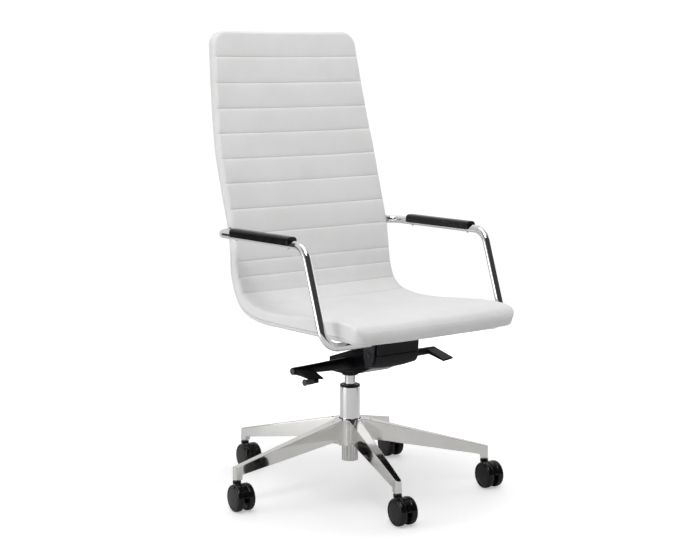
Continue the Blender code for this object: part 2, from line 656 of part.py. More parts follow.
def levers(parent):
    wall = HOUSING_HALF + 0.001
    left = bmesh.new()
    merge(left, cylinder(LEVER_CORE_R, LEVER_LEFT + 0.003, -0.012, 16), lever_frame())
    height = place("height_lever", mesh_from(left, "height_core"), parent, BLACK_PLASTIC)
    finger = prism([(LEVER_Y, LEVER_Z + 0.003), (LEVER_Y, LEVER_Z + 0.0095),
                    (0.004, VALVE_TOP_Z + 0.006), (0.004, VALVE_TOP_Z + GAP)], -0.017, -0.0121)
    tongue = prism([(-0.004, VALVE_TOP_Z + GAP + 0.0002), (-0.004, VALVE_TOP_Z + 0.0055),
                    (0.004, VALVE_TOP_Z + 0.0055), (0.004, VALVE_TOP_Z + GAP + 0.0002)],
                   -0.0125, 0.004)
    sleeve = lever_sleeve(LEVER_LEFT + 0.0035, -wall, 0.0073, 0.0115)
    blade = paddle(LEVER_LEFT + 0.006, -0.174, 0.0)
    for bm, name in ((sleeve, "left_sleeve"), (blade, "left_blade"), (finger, "finger"),
                     (tongue, "tongue")):
        boolean(height, place(name + "_guide", mesh_from(bm, name), parent), "UNION")

    cap = bmesh.new()
    merge(cap, lathe([(0.0, LEVER_LEFT), (0.0060, LEVER_LEFT), (0.0075, LEVER_LEFT + 0.0012),
                      (0.0075, LEVER_LEFT + 0.003 - GAP), (0.0, LEVER_LEFT + 0.003 - GAP)], 20),
          lever_frame())
    place("lever_cap", mesh_from(cap, "cap"), parent, BLACK_PLASTIC)

    outer = KNOB_X - KNOB_HALF
    inner = KNOB_X + KNOB_HALF
    knob = [(0.0, outer), (KNOB_R - 0.0012, outer), (KNOB_R, outer + 0.0015),
            (KNOB_R, inner - 0.0015), (KNOB_R - 0.0012, inner), (SPIGOT_R, inner),
            (SPIGOT_R, SPIGOT_END_X), (0.0, SPIGOT_END_X)]
    turned = bmesh.new()
    merge(turned, lathe(knob, 18), knob_frame())
    place("tension_knob", mesh_from(turned, "knob"), parent, BLACK_PLASTIC)

    notch = bmesh.new()
    merge(notch, lathe([(0.0, -0.26), (KNOB_R + 0.0005, -0.26), (KNOB_R + 0.0005, inner + GAP),
                        (SPIGOT_R + RUN, inner + GAP), (SPIGOT_R + RUN, SPIGOT_END_X + GAP),
                        (0.0, SPIGOT_END_X + GAP)], 18), knob_frame())
    boolean(height, place("notch_guide", mesh_from(notch, "notch"), parent), "DIFFERENCE")

    right = bmesh.new()
    merge(right, cylinder(LEVER_CORE_R, 0.012, LEVER_RIGHT, 16), lever_frame())
    lock = place("tilt_lock_lever", mesh_from(right, "lock_core"), parent, BLACK_PLASTIC)
    sleeve = lever_sleeve(0.204, wall, 0.0085, 0.0095)
    blade = paddle(0.200, LEVER_RIGHT + 0.001, 0.008)
    for bm, name in ((sleeve, "right_sleeve"), (blade, "right_blade")):
        boolean(lock, place(name + "_guide", mesh_from(bm, name), parent), "UNION")


def mechanism(parent):
    mechanism_housing(parent)
    pivot_housing(parent)
    seat_carrier(parent)
    carrier_bolts(parent)
    pin = bmesh.new()
    merge(pin, cylinder(PIN_R, -EAR_OUT - 0.001, EAR_OUT + 0.001, 16), pivot_frame())
    place("tilt_pin", mesh_from(pin, "pin"), parent, STEEL)
    place("tilt_spring", mesh_from(tube_mesh(tilt_spring_points(), 0.0016, 6), "spring"),
          parent, STEEL)
    levers(parent)


# ---------------------------------------------------------------- shell

def shell_stations():
    """Smooth stations: sitting point, direction through the shell, thickness, run so far."""
    keys = [Vector(p) for p in SHELL_LINE]
    keys = [2 * keys[0] - keys[1]] + keys + [2 * keys[-1] - keys[-2]]
    samples = []
    for a, b, c, d in zip(keys, keys[1:], keys[2:], keys[3:]):
        for i in range(SHELL_STEPS):
            t = i / SHELL_STEPS
            samples.append(0.5 * (2 * b + (c - a) * t + (2 * a - 5 * b + 4 * c - d) * t * t
                                  + (3 * b - a - 3 * c + d) * t ** 3))
    samples.append(keys[-2])
    stations = []
    run = 0.0
    for i, sample in enumerate(samples):
        run += (sample.xy - samples[max(i - 1, 0)].xy).length
        through = sample.zw - sample.xy
        stations.append((sample.xy, through.normalized(), through.length, run))
    return stations


def half_width(height, along, total):
    """Half width at a station, with the corners rounded at the nose and at the top."""
    taper = max(0.0, height - TAPER_START_Z) / (SHELL_LINE[-1][1] - TAPER_START_Z)
    half = SHELL_HALF - (SHELL_HALF - SHELL_TOP_HALF) * taper
    for distance, corner in ((along, NOSE_CORNER), (total - along, TOP_CORNER)):
        if distance < corner:
            half -= corner - math.sqrt(corner ** 2 - (corner - distance) ** 2)
    return half


def shell_slab(name, front_depth, rear_depth, inset, drops, parent, look):
    """One layer of the shell between two depths, each a function of the full thickness."""
    stations = shell_stations()
    total = stations[-1][3]
    bm = bmesh.new()
    rings = []
    for sitting, through, thickness, along in stations:
        if inset and not inset <= along <= total - inset:
            continue
        half = half_width(sitting.y, along, total)
        rise = min(1.0, max(0.0, (sitting.y - 0.50) / 0.15))
        dish = SEAT_DISH + (BACK_DISH - SEAT_DISH) * rise
        outer_dish = REAR_DISH * rise + NOSE_BELLY * max(0.0, 1 - along / NOSE_RUN) ** 2
        ring = []
        for depth, drop in ((front_depth(thickness), drops[0]), (rear_depth(thickness), drops[1])):
            share = depth / thickness
            middle = (1 - share) * dish + share * outer_dish
            row = []
            for v in SHELL_COLUMNS:
                edge = drop if abs(v) == 1.0 else 0.0
                x = v * (half - inset)
                spot = sitting + through * (depth + edge + middle * (1 - (x / half) ** 2))
                row.append(bm.verts.new((x, spot.x, spot.y)))
            ring = ring + row[::-1] if ring else row
        rings.append(ring)
    count = len(rings[0])
    bm.faces.new(rings[0])
    bm.faces.new(rings[-1])
    for low, high in zip(rings, rings[1:]):
        for i in range(count):
            j = (i + 1) % count
            bm.faces.new((low[i], low[j], high[j], high[i]))
    bmesh.ops.triangulate(bm, faces=bm.faces[:])
    return place(name, mesh_from(bm, name), parent, look)


def core_front(thickness):
    return thickness - CORE_BACKING - CORE_T


def core_rear(thickness):
    return thickness - CORE_BACKING


def shell(parent):
    core = shell_slab("shell_core", core_front, core_rear, CORE_INSET, (0.0, 0.0),
                      parent, PLYWOOD)
    shell_slab("front_upholstery", lambda t: 0.0, lambda t: core_front(t) - GAP, 0.0,
               (EDGE_DROP, 0.0), parent, LEATHER)
    shell_slab("rear_upholstery", lambda t: core_rear(t) + GAP, lambda t: t, 0.0,
               (0.0, -EDGE_DROP), parent, LEATHER)
    boolean(core, stud_bores(parent), "DIFFERENCE")


# ---------------------------------------------------------------- armrests

def arm_rear_y():
    """Middle of the shell's core at the armrest's height, where the tube end is pinned."""
    middles = []
    for sitting, through, thickness, _ in shell_stations():
        middles.append(sitting + through * (thickness - CORE_BACKING - CORE_T / 2))
    for low, high in zip(middles, middles[1:]):
        if low.y <= ARM_Z < high.y:
            return low.x + (high.x - low.x) * (ARM_Z - low.y) / (high.y - low.y)
    raise ValueError("the armrest is above the backrest")


def stud_frame(side):
    return (Matrix.Translation((0, arm_rear_y(), ARM_Z))
            @ Matrix.Rotation(side * math.pi / 2, 4, "Y"))


def stud_bores(parent):
    bores = bmesh.new()
    for side in (-1, 1):
        merge(bores, cylinder(STUD_R + RUN, SHELL_HALF - 0.0235, 0.30, 14), stud_frame(side))
    return place("stud_bores_guide", mesh_from(bores, "stud_bores"), parent)


def armrest(side, label, parent):
    x = side * ARM_X
    rear_y = arm_rear_y()
    end_x = side * (SHELL_HALF + GAP)
    corners = [(side * FOOT_END_X, LEG_FOOT_Y, LEG_FOOT_Z), (x, LEG_FOOT_Y, LEG_FOOT_Z),
               (x, ARM_BEND_Y + 0.004, ARM_Z), (x, rear_y, ARM_Z), (end_x, rear_y, ARM_Z)]
    path = bent_path(corners, (ARM_FOOT_BEND_R, ARM_FRONT_BEND_R, ARM_REAR_BEND_R), 6)
    frame = place("arm_frame_" + label, mesh_from(tube_mesh(path, ARM_TUBE_R, 16), "tube"),
                  parent, CHROME)
    flange = prism([(side * FOOT_END_X - 0.025, LEG_FOOT_Y - 0.022),
                    (side * FOOT_END_X + 0.025, LEG_FOOT_Y - 0.022),
                    (side * FOOT_END_X + 0.025, LEG_FOOT_Y + 0.022),
                    (side * FOOT_END_X - 0.025, LEG_FOOT_Y + 0.022)],
                   LEG_FOOT_Z + 0.0055, SEAT_UNDERSIDE_Z - GAP, "Z")
    bores = bmesh.new()
    merge(bores, cylinder(STUD_R + RUN, SHELL_HALF - 0.013, SHELL_HALF + 0.0185, 14), stud_frame(side))
    for y in PAD_SCREW_YS:
        merge(bores, cylinder(0.0022, ARM_Z - 0.03, ARM_Z + 0.03, 10),
              Matrix.Translation((x, y, 0)))
    boolean(frame, place("flange_guide_" + label, mesh_from(flange, "flange"), parent), "UNION")
    boolean(frame, place("bores_guide_" + label, mesh_from(bores, "bores"), parent),
            "DIFFERENCE")

    stud = bmesh.new()
    merge(stud, cylinder(STUD_R, SHELL_HALF - 0.0225, SHELL_HALF + 0.0175, 12), stud_frame(side))
    place("arm_stud_" + label, mesh_from(stud, "stud"), parent, STEEL)


def pad_outline(x):
    """Cross-section of an arm pad: rounded top, skirts down both sides of the tube."""
    low = ARM_Z - PAD_SKIRT
    channel = ARM_TUBE_R + 0.0004
    start = math.degrees(math.asin(-PAD_SKIRT / channel))
    outline = [(x + PAD_HALF, low)]
    outline += arc(x + PAD_HALF - 0.009, ARM_Z + PAD_TOP - 0.009, 0.009, 0, 90, 4)
    outline += arc(x - PAD_HALF + 0.009, ARM_Z + PAD_TOP - 0.009, 0.009, 90, 180, 4)
    outline += [(x - PAD_HALF, low)]
    outline += arc(x, ARM_Z, channel, 180 - start, start, 14)
    return outline


def arm_pad(side, label, parent):
    x = side * ARM_X
    pad = place("arm_pad_" + label, mesh_from(
        prism(pad_outline(x), PAD_FRONT_Y, PAD_REAR_Y, "Y"), "pad"), parent, BLACK_PLASTIC)
    holes = bmesh.new()
    screw = lathe([(0.0, -0.0120), (0.0034, -0.0120), (0.0034, -ARM_TUBE_R - GAP),
                   (0.0018, -ARM_TUBE_R - GAP), (0.0018, 0.0130), (0.0, 0.0130)], 10)
    screw_mesh = mesh_from(screw, "pad_screw")
    for index, y in enumerate(PAD_SCREW_YS):
        merge(holes, cylinder(0.0022, ARM_Z, ARM_Z + 0.0140, 10), Matrix.Translation((x, y, 0)))
        place("pad_screw_" + label + "_" + str(index + 1), screw_mesh.copy(), parent, STEEL,
              (x, y, ARM_Z))
    boolean(pad, place("pad_holes_guide_" + label, mesh_from(holes, "pad_holes"), parent),
            "DIFFERENCE")


def main():
    clear_scene()
    axis = empty("column_axis", (COLUMN_X, COLUMN_Y, 0.0))
    star_base(axis)
    castors(axis)
    gas_column(axis)
    mechanism(axis)
    shell(axis)
    for side, label in ((-1, "right"), (1, "left")):
        armrest(side, label, axis)
        arm_pad(side, label, axis)


main()
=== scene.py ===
"""High-back swivel office chair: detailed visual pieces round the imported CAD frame."""

import json
import math

import bmesh
import bpy
import numpy as np
from mathutils import Matrix, Vector, noise


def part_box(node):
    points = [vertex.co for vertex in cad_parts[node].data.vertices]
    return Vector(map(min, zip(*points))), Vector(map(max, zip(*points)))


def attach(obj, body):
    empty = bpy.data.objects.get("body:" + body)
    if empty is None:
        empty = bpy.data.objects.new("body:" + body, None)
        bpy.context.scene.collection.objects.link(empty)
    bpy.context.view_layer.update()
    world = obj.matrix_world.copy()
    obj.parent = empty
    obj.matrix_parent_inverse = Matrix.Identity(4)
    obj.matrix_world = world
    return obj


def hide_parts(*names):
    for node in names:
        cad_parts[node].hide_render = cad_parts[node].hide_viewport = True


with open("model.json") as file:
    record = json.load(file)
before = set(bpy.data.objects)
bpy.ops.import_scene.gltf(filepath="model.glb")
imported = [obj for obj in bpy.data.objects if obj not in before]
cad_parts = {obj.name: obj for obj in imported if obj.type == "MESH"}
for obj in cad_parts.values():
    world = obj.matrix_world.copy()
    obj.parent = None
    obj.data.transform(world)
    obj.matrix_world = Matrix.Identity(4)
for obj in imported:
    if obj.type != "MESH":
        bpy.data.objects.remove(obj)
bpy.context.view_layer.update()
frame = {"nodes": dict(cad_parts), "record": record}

# ---------------------------------------------------------------- shared dimensions

COLUMN = Vector((0.033, 0.019, 0.0))        # column axis in the row frame

SHELL_LINE = [                               # sitting surface (y, z) and outer face (y, z)
    (-0.345, 0.4570, -0.336, 0.4325),
    (-0.321, 0.4775, -0.300, 0.4362),
    (-0.255, 0.483, -0.252, 0.4360),
    (-0.160, 0.477, -0.162, 0.4360),
    (-0.030, 0.468, -0.033, 0.4360),
    (0.050, 0.4715, 0.062, 0.4405),
    (0.108, 0.492, 0.128, 0.4650),
    (0.134, 0.541, 0.1665, 0.5330),
    (0.150, 0.646, 0.1775, 0.6410),
    (0.185, 0.769, 0.212, 0.7620),
    (0.218, 0.891, 0.2445, 0.8845),
    (0.243, 1.015, 0.2700, 1.0100),
    (0.266, 1.146, 0.2915, 1.1418),
]
SEAM_HEIGHTS = (1.080, 1.015, 0.952, 0.891, 0.829, 0.769, 0.706, 0.646, 0.579, 0.541, 0.503,
                0.477)
SHELL_HALF = 0.247
SHELL_TOP_HALF = 0.224
TAPER_START_Z = 0.850
NOSE_CORNER = 0.026
TOP_CORNER = 0.036
SEAT_DISH = 0.003
BACK_DISH = 0.010
REAR_DISH = 0.006
NOSE_BELLY = 0.006
NOSE_RUN = 0.045
CORE_T = 0.010
CORE_BACKING = 0.0107
CORE_CLEAR = 0.0005

ARM_X = 0.2810
ARM_TUBE_R = 0.010
ARM_Z = 0.6505
ARM_BEND_Y = -0.190
LEG_FOOT_Y = -0.262
LEG_FOOT_Z = 0.4235
FOOT_END_X = 0.150

BODY_OF = {node: body for body, nodes in frame["record"]["behaviour"]["bodies"].items()
           for node in nodes}
WHITE = (1.0, 1.0, 1.0)


# ---------------------------------------------------------------- materials

class Nodes:
    """Small helper that adds nodes to a new material or world and wires them."""

    def __init__(self, owner, shader="Principled BSDF"):
        owner.use_nodes = True
        self.owner = owner
        self.tree = owner.node_tree
        self.shader = self.tree.nodes[shader]
        self.coords = self.add("ShaderNodeTexCoord")

    def add(self, kind, **values):
        node = self.tree.nodes.new(kind)
        for key, value in values.items():
            if hasattr(node, key):
                setattr(node, key, value)
            else:
                node.inputs[key.replace("_", " ")].default_value = value
        return node

    def link(self, source, target):
        self.tree.links.new(source, target)

    def texture(self, kind, **values):
        node = self.add(kind, **values)
        self.link(self.coords.outputs["Object"], node.inputs["Vector"])
        return node

    def spread(self, source, low, high, start=0.0, stop=1.0):
        """Map start..stop to low..high."""
        node = self.add("ShaderNodeMapRange", From_Min=start, From_Max=stop, To_Min=low,
                        To_Max=high)
        self.link(source, node.inputs["Value"])
        return node.outputs["Result"]

    def product(self, one, other):
        node = self.add("ShaderNodeMath", operation="MULTIPLY")
        self.link(one, node.inputs[0])
        self.link(other, node.inputs[1])
        return node.outputs["Value"]

    def ramp(self, source, stops):
        node = self.add("ShaderNodeValToRGB")
        ramp = node.color_ramp
        while len(ramp.elements) < len(stops):
            ramp.elements.new(0.5)
        for element, (position, colour) in zip(ramp.elements, stops):
            element.position = position
            element.color = (*colour, 1.0)
        self.link(source, node.inputs["Fac"])
        return node.outputs["Color"]

    def bump(self, source, distance, strength, below=None):
        node = self.add("ShaderNodeBump", Distance=distance, Strength=strength)
        self.link(source, node.inputs["Height"])
        if below is not None:
            self.link(below, node.inputs["Normal"])
        return node.outputs["Normal"]

    def into(self, socket, source):
        self.link(source, self.shader.inputs[socket])

    def set(self, **values):
        for key, value in values.items():
            self.shader.inputs[key.replace("_", " ")].default_value = value


def new_material(name):
    """Node helper for a new, still plain material."""
    return Nodes(bpy.data.materials.new(name))


def leather(name, light, dark):
    """Fine-grained leather: pebbled cells, soft colour drift, slight polish changes."""
    n = new_material(name)
    n.set(IOR=1.45, Metallic=0.0, Specular_IOR_Level=0.42)
    drift = n.texture("ShaderNodeTexNoise", Scale=9.0, Detail=4.0, Roughness=0.55)
    n.into("Base Color", n.ramp(drift.outputs["Fac"], ((0.32, dark), (0.62, light))))
    polish = n.texture("ShaderNodeTexNoise", Scale=26.0, Detail=3.0)
    n.into("Roughness", n.spread(polish.outputs["Fac"], 0.40, 0.58))
    cells = n.texture("ShaderNodeTexVoronoi", feature="DISTANCE_TO_EDGE", Scale=720.0)
    pores = n.texture("ShaderNodeTexNoise", Scale=1500.0, Detail=2.0)
    creases = n.texture("ShaderNodeTexNoise", Scale=70.0, Detail=6.0, Roughness=0.62)
    normal = n.bump(creases.outputs["Fac"], 0.0006, 0.35)
    normal = n.bump(pores.outputs["Fac"], 0.0001, 0.35, normal)
    normal = n.bump(cells.outputs["Distance"], 0.0003, 0.5, normal)
    n.into("Normal", normal)
    return n.owner


def metal(name, colour, rough_low, rough_high, grain=0.00003, scale=900.0, stretch=WHITE):
    """Plated or polished metal with handling marks and a faint directional grain."""
    n = new_material(name)
    n.set(Metallic=1.0)
    tint = n.texture("ShaderNodeTexNoise", Scale=14.0, Detail=3.0)
    darker = tuple(c * 0.94 for c in colour)
    n.into("Base Color", n.ramp(tint.outputs["Fac"], ((0.35, darker), (0.65, colour))))
    smudge = n.texture("ShaderNodeTexNoise", Scale=45.0, Detail=5.0, Roughness=0.7)
    n.into("Roughness", n.spread(smudge.outputs["Fac"], rough_low, rough_high))
    mapping = n.add("ShaderNodeMapping", Scale=stretch)
    n.link(n.coords.outputs["Object"], mapping.inputs["Vector"])
    lines = n.add("ShaderNodeTexNoise", Scale=scale, Detail=2.0)
    n.link(mapping.outputs["Vector"], lines.inputs["Vector"])
    n.into("Normal", n.bump(lines.outputs["Fac"], grain, 0.5))
    return n.owner


def plastic(name, colour, rough_low, rough_high, grain=0.00008, scale=1100.0, edge=1.6,
            gloss=0.5):
    """Moulded plastic or powder coat: fine spark texture, uneven gloss, lighter worn edges."""
    n = new_material(name)
    n.set(Metallic=0.0, IOR=1.5, Specular_IOR_Level=gloss)
    wear = n.texture("ShaderNodeTexNoise", Scale=38.0, Detail=5.0, Roughness=0.65)
    lighter = tuple(min(1.0, c * edge + 0.004) for c in colour)
    n.into("Base Color", n.ramp(wear.outputs["Fac"], ((0.40, colour), (0.80, lighter))))
    n.into("Roughness", n.spread(wear.outputs["Fac"], rough_low, rough_high))
    spark = n.texture("ShaderNodeTexNoise", Scale=scale, Detail=3.0, Roughness=0.6)
    swell = n.texture("ShaderNodeTexNoise", Scale=60.0, Detail=1.0)
    n.into("Normal", n.bump(spark.outputs["Fac"], grain, 0.5,
                            n.bump(swell.outputs["Fac"], 0.0003, 0.15)))
    return n.owner


def wood(name):
    """Edge of moulded plywood: fine layers of lighter and darker veneer."""
    n = new_material(name)
    plies = n.texture("ShaderNodeTexWave", Scale=140.0, Distortion=2.5, Detail=3.0)
    n.into("Base Color", n.ramp(plies.outputs["Fac"],
                                ((0.2, (0.42, 0.29, 0.17)), (0.8, (0.66, 0.50, 0.32)))))
    n.set(Roughness=0.6)
    n.into("Normal", n.bump(plies.outputs["Fac"], 0.0002, 0.4))
    return n.owner


LEATHER = leather("white_leather", (0.84, 0.84, 0.84), (0.805, 0.805, 0.80))
REAR_LEATHER = leather("white_leather_rear", (0.80, 0.80, 0.80), (0.765, 0.765, 0.76))
CHROME = metal("chrome_plate", (0.82, 0.82, 0.83), 0.035, 0.09)
ALUMINIUM = metal("polished_aluminium", (0.80, 0.79, 0.77), 0.03, 0.08, 0.00002, 500.0,
                  (1.0, 1.0, 0.2))
STEEL = metal("zinc_steel", (0.50, 0.50, 0.50), 0.25, 0.40)
BLACK_STEEL = metal("black_steel", (0.10, 0.10, 0.11), 0.25, 0.40)
BLACK_COAT = plastic("black_coat", (0.006, 0.006, 0.008), 0.12, 0.22, gloss=0.18)
GREY_COAT = plastic("slate_coat", (0.017, 0.019, 0.023), 0.28, 0.40, gloss=0.30)
MATT_COAT = plastic("matt_coat", (0.014, 0.014, 0.014), 0.42, 0.56, 0.00012, 900.0, gloss=0.16)
MATT_GREY = plastic("matt_grey_plastic", (0.045, 0.045, 0.044), 0.45, 0.6, gloss=0.35)
LEVER_PLASTIC = plastic("lever_plastic", (0.008, 0.008, 0.008), 0.28, 0.42, gloss=0.14)
PAD_PLASTIC = plastic("arm_pad_plastic", (0.003, 0.003, 0.004), 0.16, 0.26, 0.00004, 1600.0,
                      gloss=0.28)
CASTOR_PLASTIC = plastic("castor_plastic", (0.004, 0.004, 0.004), 0.09, 0.18, 0.00003,
                         gloss=0.32)
UNDERLAY = plastic("black_underlay", (0.010, 0.010, 0.010), 0.75, 0.9, 0.0002, 1500.0, 1.8, 0.1)
PLYWOOD = wood("moulded_plywood")

SLOT_LOOK = {"steel": STEEL, "castor_plastic": CASTOR_PLASTIC, "polished_aluminium": ALUMINIUM,
             "chrome": CHROME, "lever_plastic": LEVER_PLASTIC, "black_metal": BLACK_COAT,
             "plywood": PLYWOOD, "leather": LEATHER, "arm_pad_plastic": PAD_PLASTIC}


def dress_frame():
    """Give every CAD node the detailed material of its slot."""
    for entry in frame["record"]["subparts"]:
        mesh = frame["nodes"][entry["node"]].data
        mesh.materials.clear()
        mesh.materials.append(SLOT_LOOK[entry["material_slot"]])


# ---------------------------------------------------------------- mesh helpers

def add_object(name, data):
    """New object in the scene for a mesh, light or camera."""
    result = bpy.data.objects.new(name, data)
    bpy.context.collection.objects.link(result)
    return result


def mesh_of(name, bm, looks):
    """Mesh with a bmesh's faces and one or more materials; frees the bmesh."""
    mesh = bpy.data.meshes.new(name)
    bm.to_mesh(mesh)
    bm.free()
    for look in looks if isinstance(looks, tuple) else (looks,):
        mesh.materials.append(look)
    return mesh


def piece(name, bm, looks, body, replaces=(), smooth=35.0):
    """Turn a bmesh in the column's frame into a placed, riding, named piece."""
    bmesh.ops.recalc_face_normals(bm, faces=bm.faces[:])
    bmesh.ops.translate(bm, verts=bm.verts[:], vec=COLUMN)
    mesh = mesh_of(name, bm, looks)
    mesh.shade_smooth()
    if smooth is not None:
        mesh.set_sharp_from_angle(angle=math.radians(smooth))
    result = add_object(name, mesh)
    result.modifiers.new("flat_faces", "WEIGHTED_NORMAL").keep_sharp = True
    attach(result, body)
    if replaces:
        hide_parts(*replaces)
    return result


def grid_faces(bm, verts, rows, columns):
    """Faces between the vertices of a grid, which are listed row by row."""
    for i in range(rows - 1):
        for j in range(columns - 1):
            a = i * columns + j
            bm.faces.new((verts[a], verts[a + 1], verts[a + columns + 1], verts[a + columns]))


def bridge(bm, low, high):
    """Faces between two closed rings of equally many vertices."""
    count = len(low)
    for i in range(count):
        j = (i + 1) % count
        bm.faces.new((low[i], low[j], high[j], high[i]))


# ---------------------------------------------------------------- upholstery

class ShellLine:
    """The shell's side section as smooth functions of the distance along the sitting line."""

    def __init__(self):
        keys = np.array(SHELL_LINE)
        keys = np.vstack([2 * keys[0] - keys[1], keys, 2 * keys[-1] - keys[-2]])
        samples = []
        for a, b, c, d in zip(keys, keys[1:], keys[2:], keys[3:]):
            for t in np.linspace(0.0, 1.0, 40, endpoint=False):
                samples.append(0.5 * (2 * b + (c - a) * t + (2 * a - 5 * b + 4 * c - d) * t ** 2
                                      + (3 * b - a - 3 * c + d) * t ** 3))
        samples.append(keys[-2])
        samples = np.array(samples)
        steps = np.hypot(*np.diff(samples[:, :2], axis=0).T)
        self.run = np.concatenate([[0.0], np.cumsum(steps)])
        self.samples = samples
        self.total = self.run[-1]

    def at(self, s):
        """Sitting point (y, z), unit direction through the shell, thickness."""
        s = np.asarray(s, float)
        columns = [np.interp(s, self.run, self.samples[:, k]) for k in range(4)]
        through = np.stack([columns[2] - columns[0], columns[3] - columns[1]], -1)
        thickness = np.linalg.norm(through, axis=-1)
        return np.stack(columns[:2], -1), through / thickness[..., None], thickness

    def run_at_height(self, z):
        """Distance along the line at a height on its rising, back part."""
        low = int(np.argmin(np.where(self.run > 0.30, self.samples[:, 1], 9.0)))
        return float(np.interp(z, self.samples[low:, 1], self.run[low:]))


EVEN_STATIONS = 150
EDGE_STEPS = 9
STATION_GAP = 0.0006                         # closer stations are left out
END_GAP = 0.0004
PANEL_COLUMNS = 70

LINE = ShellLine()
SEAMS = np.array([LINE.run_at_height(z) for z in SEAM_HEIGHTS])


def full_half(s):
    """Half width at a station, corners left square."""
    z = LINE.at(s)[0][..., 1]
    taper = np.clip((z - TAPER_START_Z) / (SHELL_LINE[-1][1] - TAPER_START_Z), 0.0, 1.0)
    return SHELL_HALF - (SHELL_HALF - SHELL_TOP_HALF) * taper


def corner_cut(s):
    """How much the rounded corners take off the half width at a station."""
    cut = np.zeros_like(s)
    for distance, corner in ((s, NOSE_CORNER), (LINE.total - s, TOP_CORNER)):
        near = np.clip(corner - distance, 0.0, corner)
        cut = np.maximum(cut, corner - np.sqrt(np.maximum(corner ** 2 - near ** 2, 0.0)))
    return cut


def edge_distance(x, s):
    """Distance inward from the shell's rounded outline."""
    side = full_half(s) - np.abs(x)
    result = np.minimum(side, np.minimum(s, LINE.total - s))
    for end, corner in ((s, NOSE_CORNER), (LINE.total - s, TOP_CORNER)):
        in_corner = (side < corner) & (end < corner)
        rounded = corner - np.hypot(corner - side, corner - end)
        result = np.where(in_corner, rounded, result)
    return np.maximum(result, 0.0)


def shell_points(x, s, depth):
    """Points of the shell (column frame) at width x, station s and depth from the front."""
    sitting, through, thickness = LINE.at(s)
    rise = np.clip((sitting[..., 1] - 0.50) / 0.15, 0.0, 1.0)
    share = depth / thickness
    dish = ((1 - share) * (SEAT_DISH + (BACK_DISH - SEAT_DISH) * rise)
            + share * (REAR_DISH * rise + NOSE_BELLY * np.clip(1 - s / NOSE_RUN, 0, 1) ** 2))
    offset = depth + dish * (1 - (x / full_half(s)) ** 2)
    spot = sitting + through * offset[..., None]
    return np.stack([x, spot[..., 0], spot[..., 1]], -1)


def fine_stations(seams, edge_r):
    """Stations along the shell: even, denser at seams and at both rounded ends."""
    end = LINE.total
    marks = list(np.linspace(0.0, end, EVEN_STATIONS))
    for seam in seams:
        marks += [seam + o for o in (-0.0075, -0.0045, -0.0028, -0.0016, -0.0007, 0.0,
                                     0.0007, 0.0016, 0.0028, 0.0045, 0.0075)]
    for turn in np.linspace(0.0, math.pi / 2, EDGE_STEPS):
        marks += [radius * (1 - math.cos(turn)) for radius in (edge_r, NOSE_CORNER)]
        marks += [end - radius * (1 - math.cos(turn)) for radius in (edge_r, TOP_CORNER)]
    keep = [0.0]
    fixed = set(round(float(s), 6) for s in seams)
    for mark in sorted(m for m in marks if 0.0 < m < end):
        if mark - keep[-1] > STATION_GAP or round(float(mark), 6) in fixed:
            keep.append(mark)
    if end - keep[-1] < END_GAP:
        keep.pop()
    return np.array(keep + [end])


def panel_grid(stations, edge_r):
    """Arrays x and s of a grid that follows the outline, denser at its rounded edges."""
    insets = [edge_r * (1 - math.sin(t)) for t in np.linspace(math.pi / 2, 0.12, EDGE_STEPS)]
    inner = np.linspace(-1.0, 1.0, PANEL_COLUMNS)
    rows = []
    for half in full_half(stations) - corner_cut(stations):
        edge = [half - i for i in insets]
        rows.append([-x for x in edge] + list((half - edge_r * 1.02) * inner) + edge[::-1])
    x = np.array(rows)
    return x, np.repeat(stations[:, None], x.shape[1], axis=1)


def boundary(rows, columns):
    """Vertex numbers round the outside of a grid, in order."""
    top = [(0, j) for j in range(columns)]
    right = [(i, columns - 1) for i in range(1, rows)]
    bottom = [(rows - 1, j) for j in range(columns - 2, -1, -1)]
    left = [(i, 0) for i in range(rows - 2, 0, -1)]
    return [i * columns + j for i, j in top + right + bottom + left]


def smoothstep(value):
    """Soft start and end for a share between 0 and 1."""
    return value * value * (3 - 2 * value)


def smooth_noise(x, s, scale, seed, stretch=(1.0, 1.0), layer=0.0):
    """Soft random field over a panel's grid."""
    offset = Vector((seed * 7.3, seed * 3.1, seed * 1.7))
    spots = zip(x.ravel() * stretch[0], s.ravel() * stretch[1])
    values = [noise.noise(Vector((a, b, layer)) * scale + offset) for a, b in spots]
    return np.array(values).reshape(x.shape)


ROLL_DEPTHS = (0.0024, 0.0034, 0.0040)       # at the lowest seam, a little above, at the top
ROLL_CHANGE = 0.12
ROLL_ABOVE, ROLL_BELOW = 0.0100, 0.0042      # how fast a roll rises from its seam
SEAT_ROLL, SEAT_RISE, SEAT_SETTLE = 0.0022, 0.0050, 0.05
CREASE_DEPTH, CREASE_WIDTH = 0.0013, 0.0012


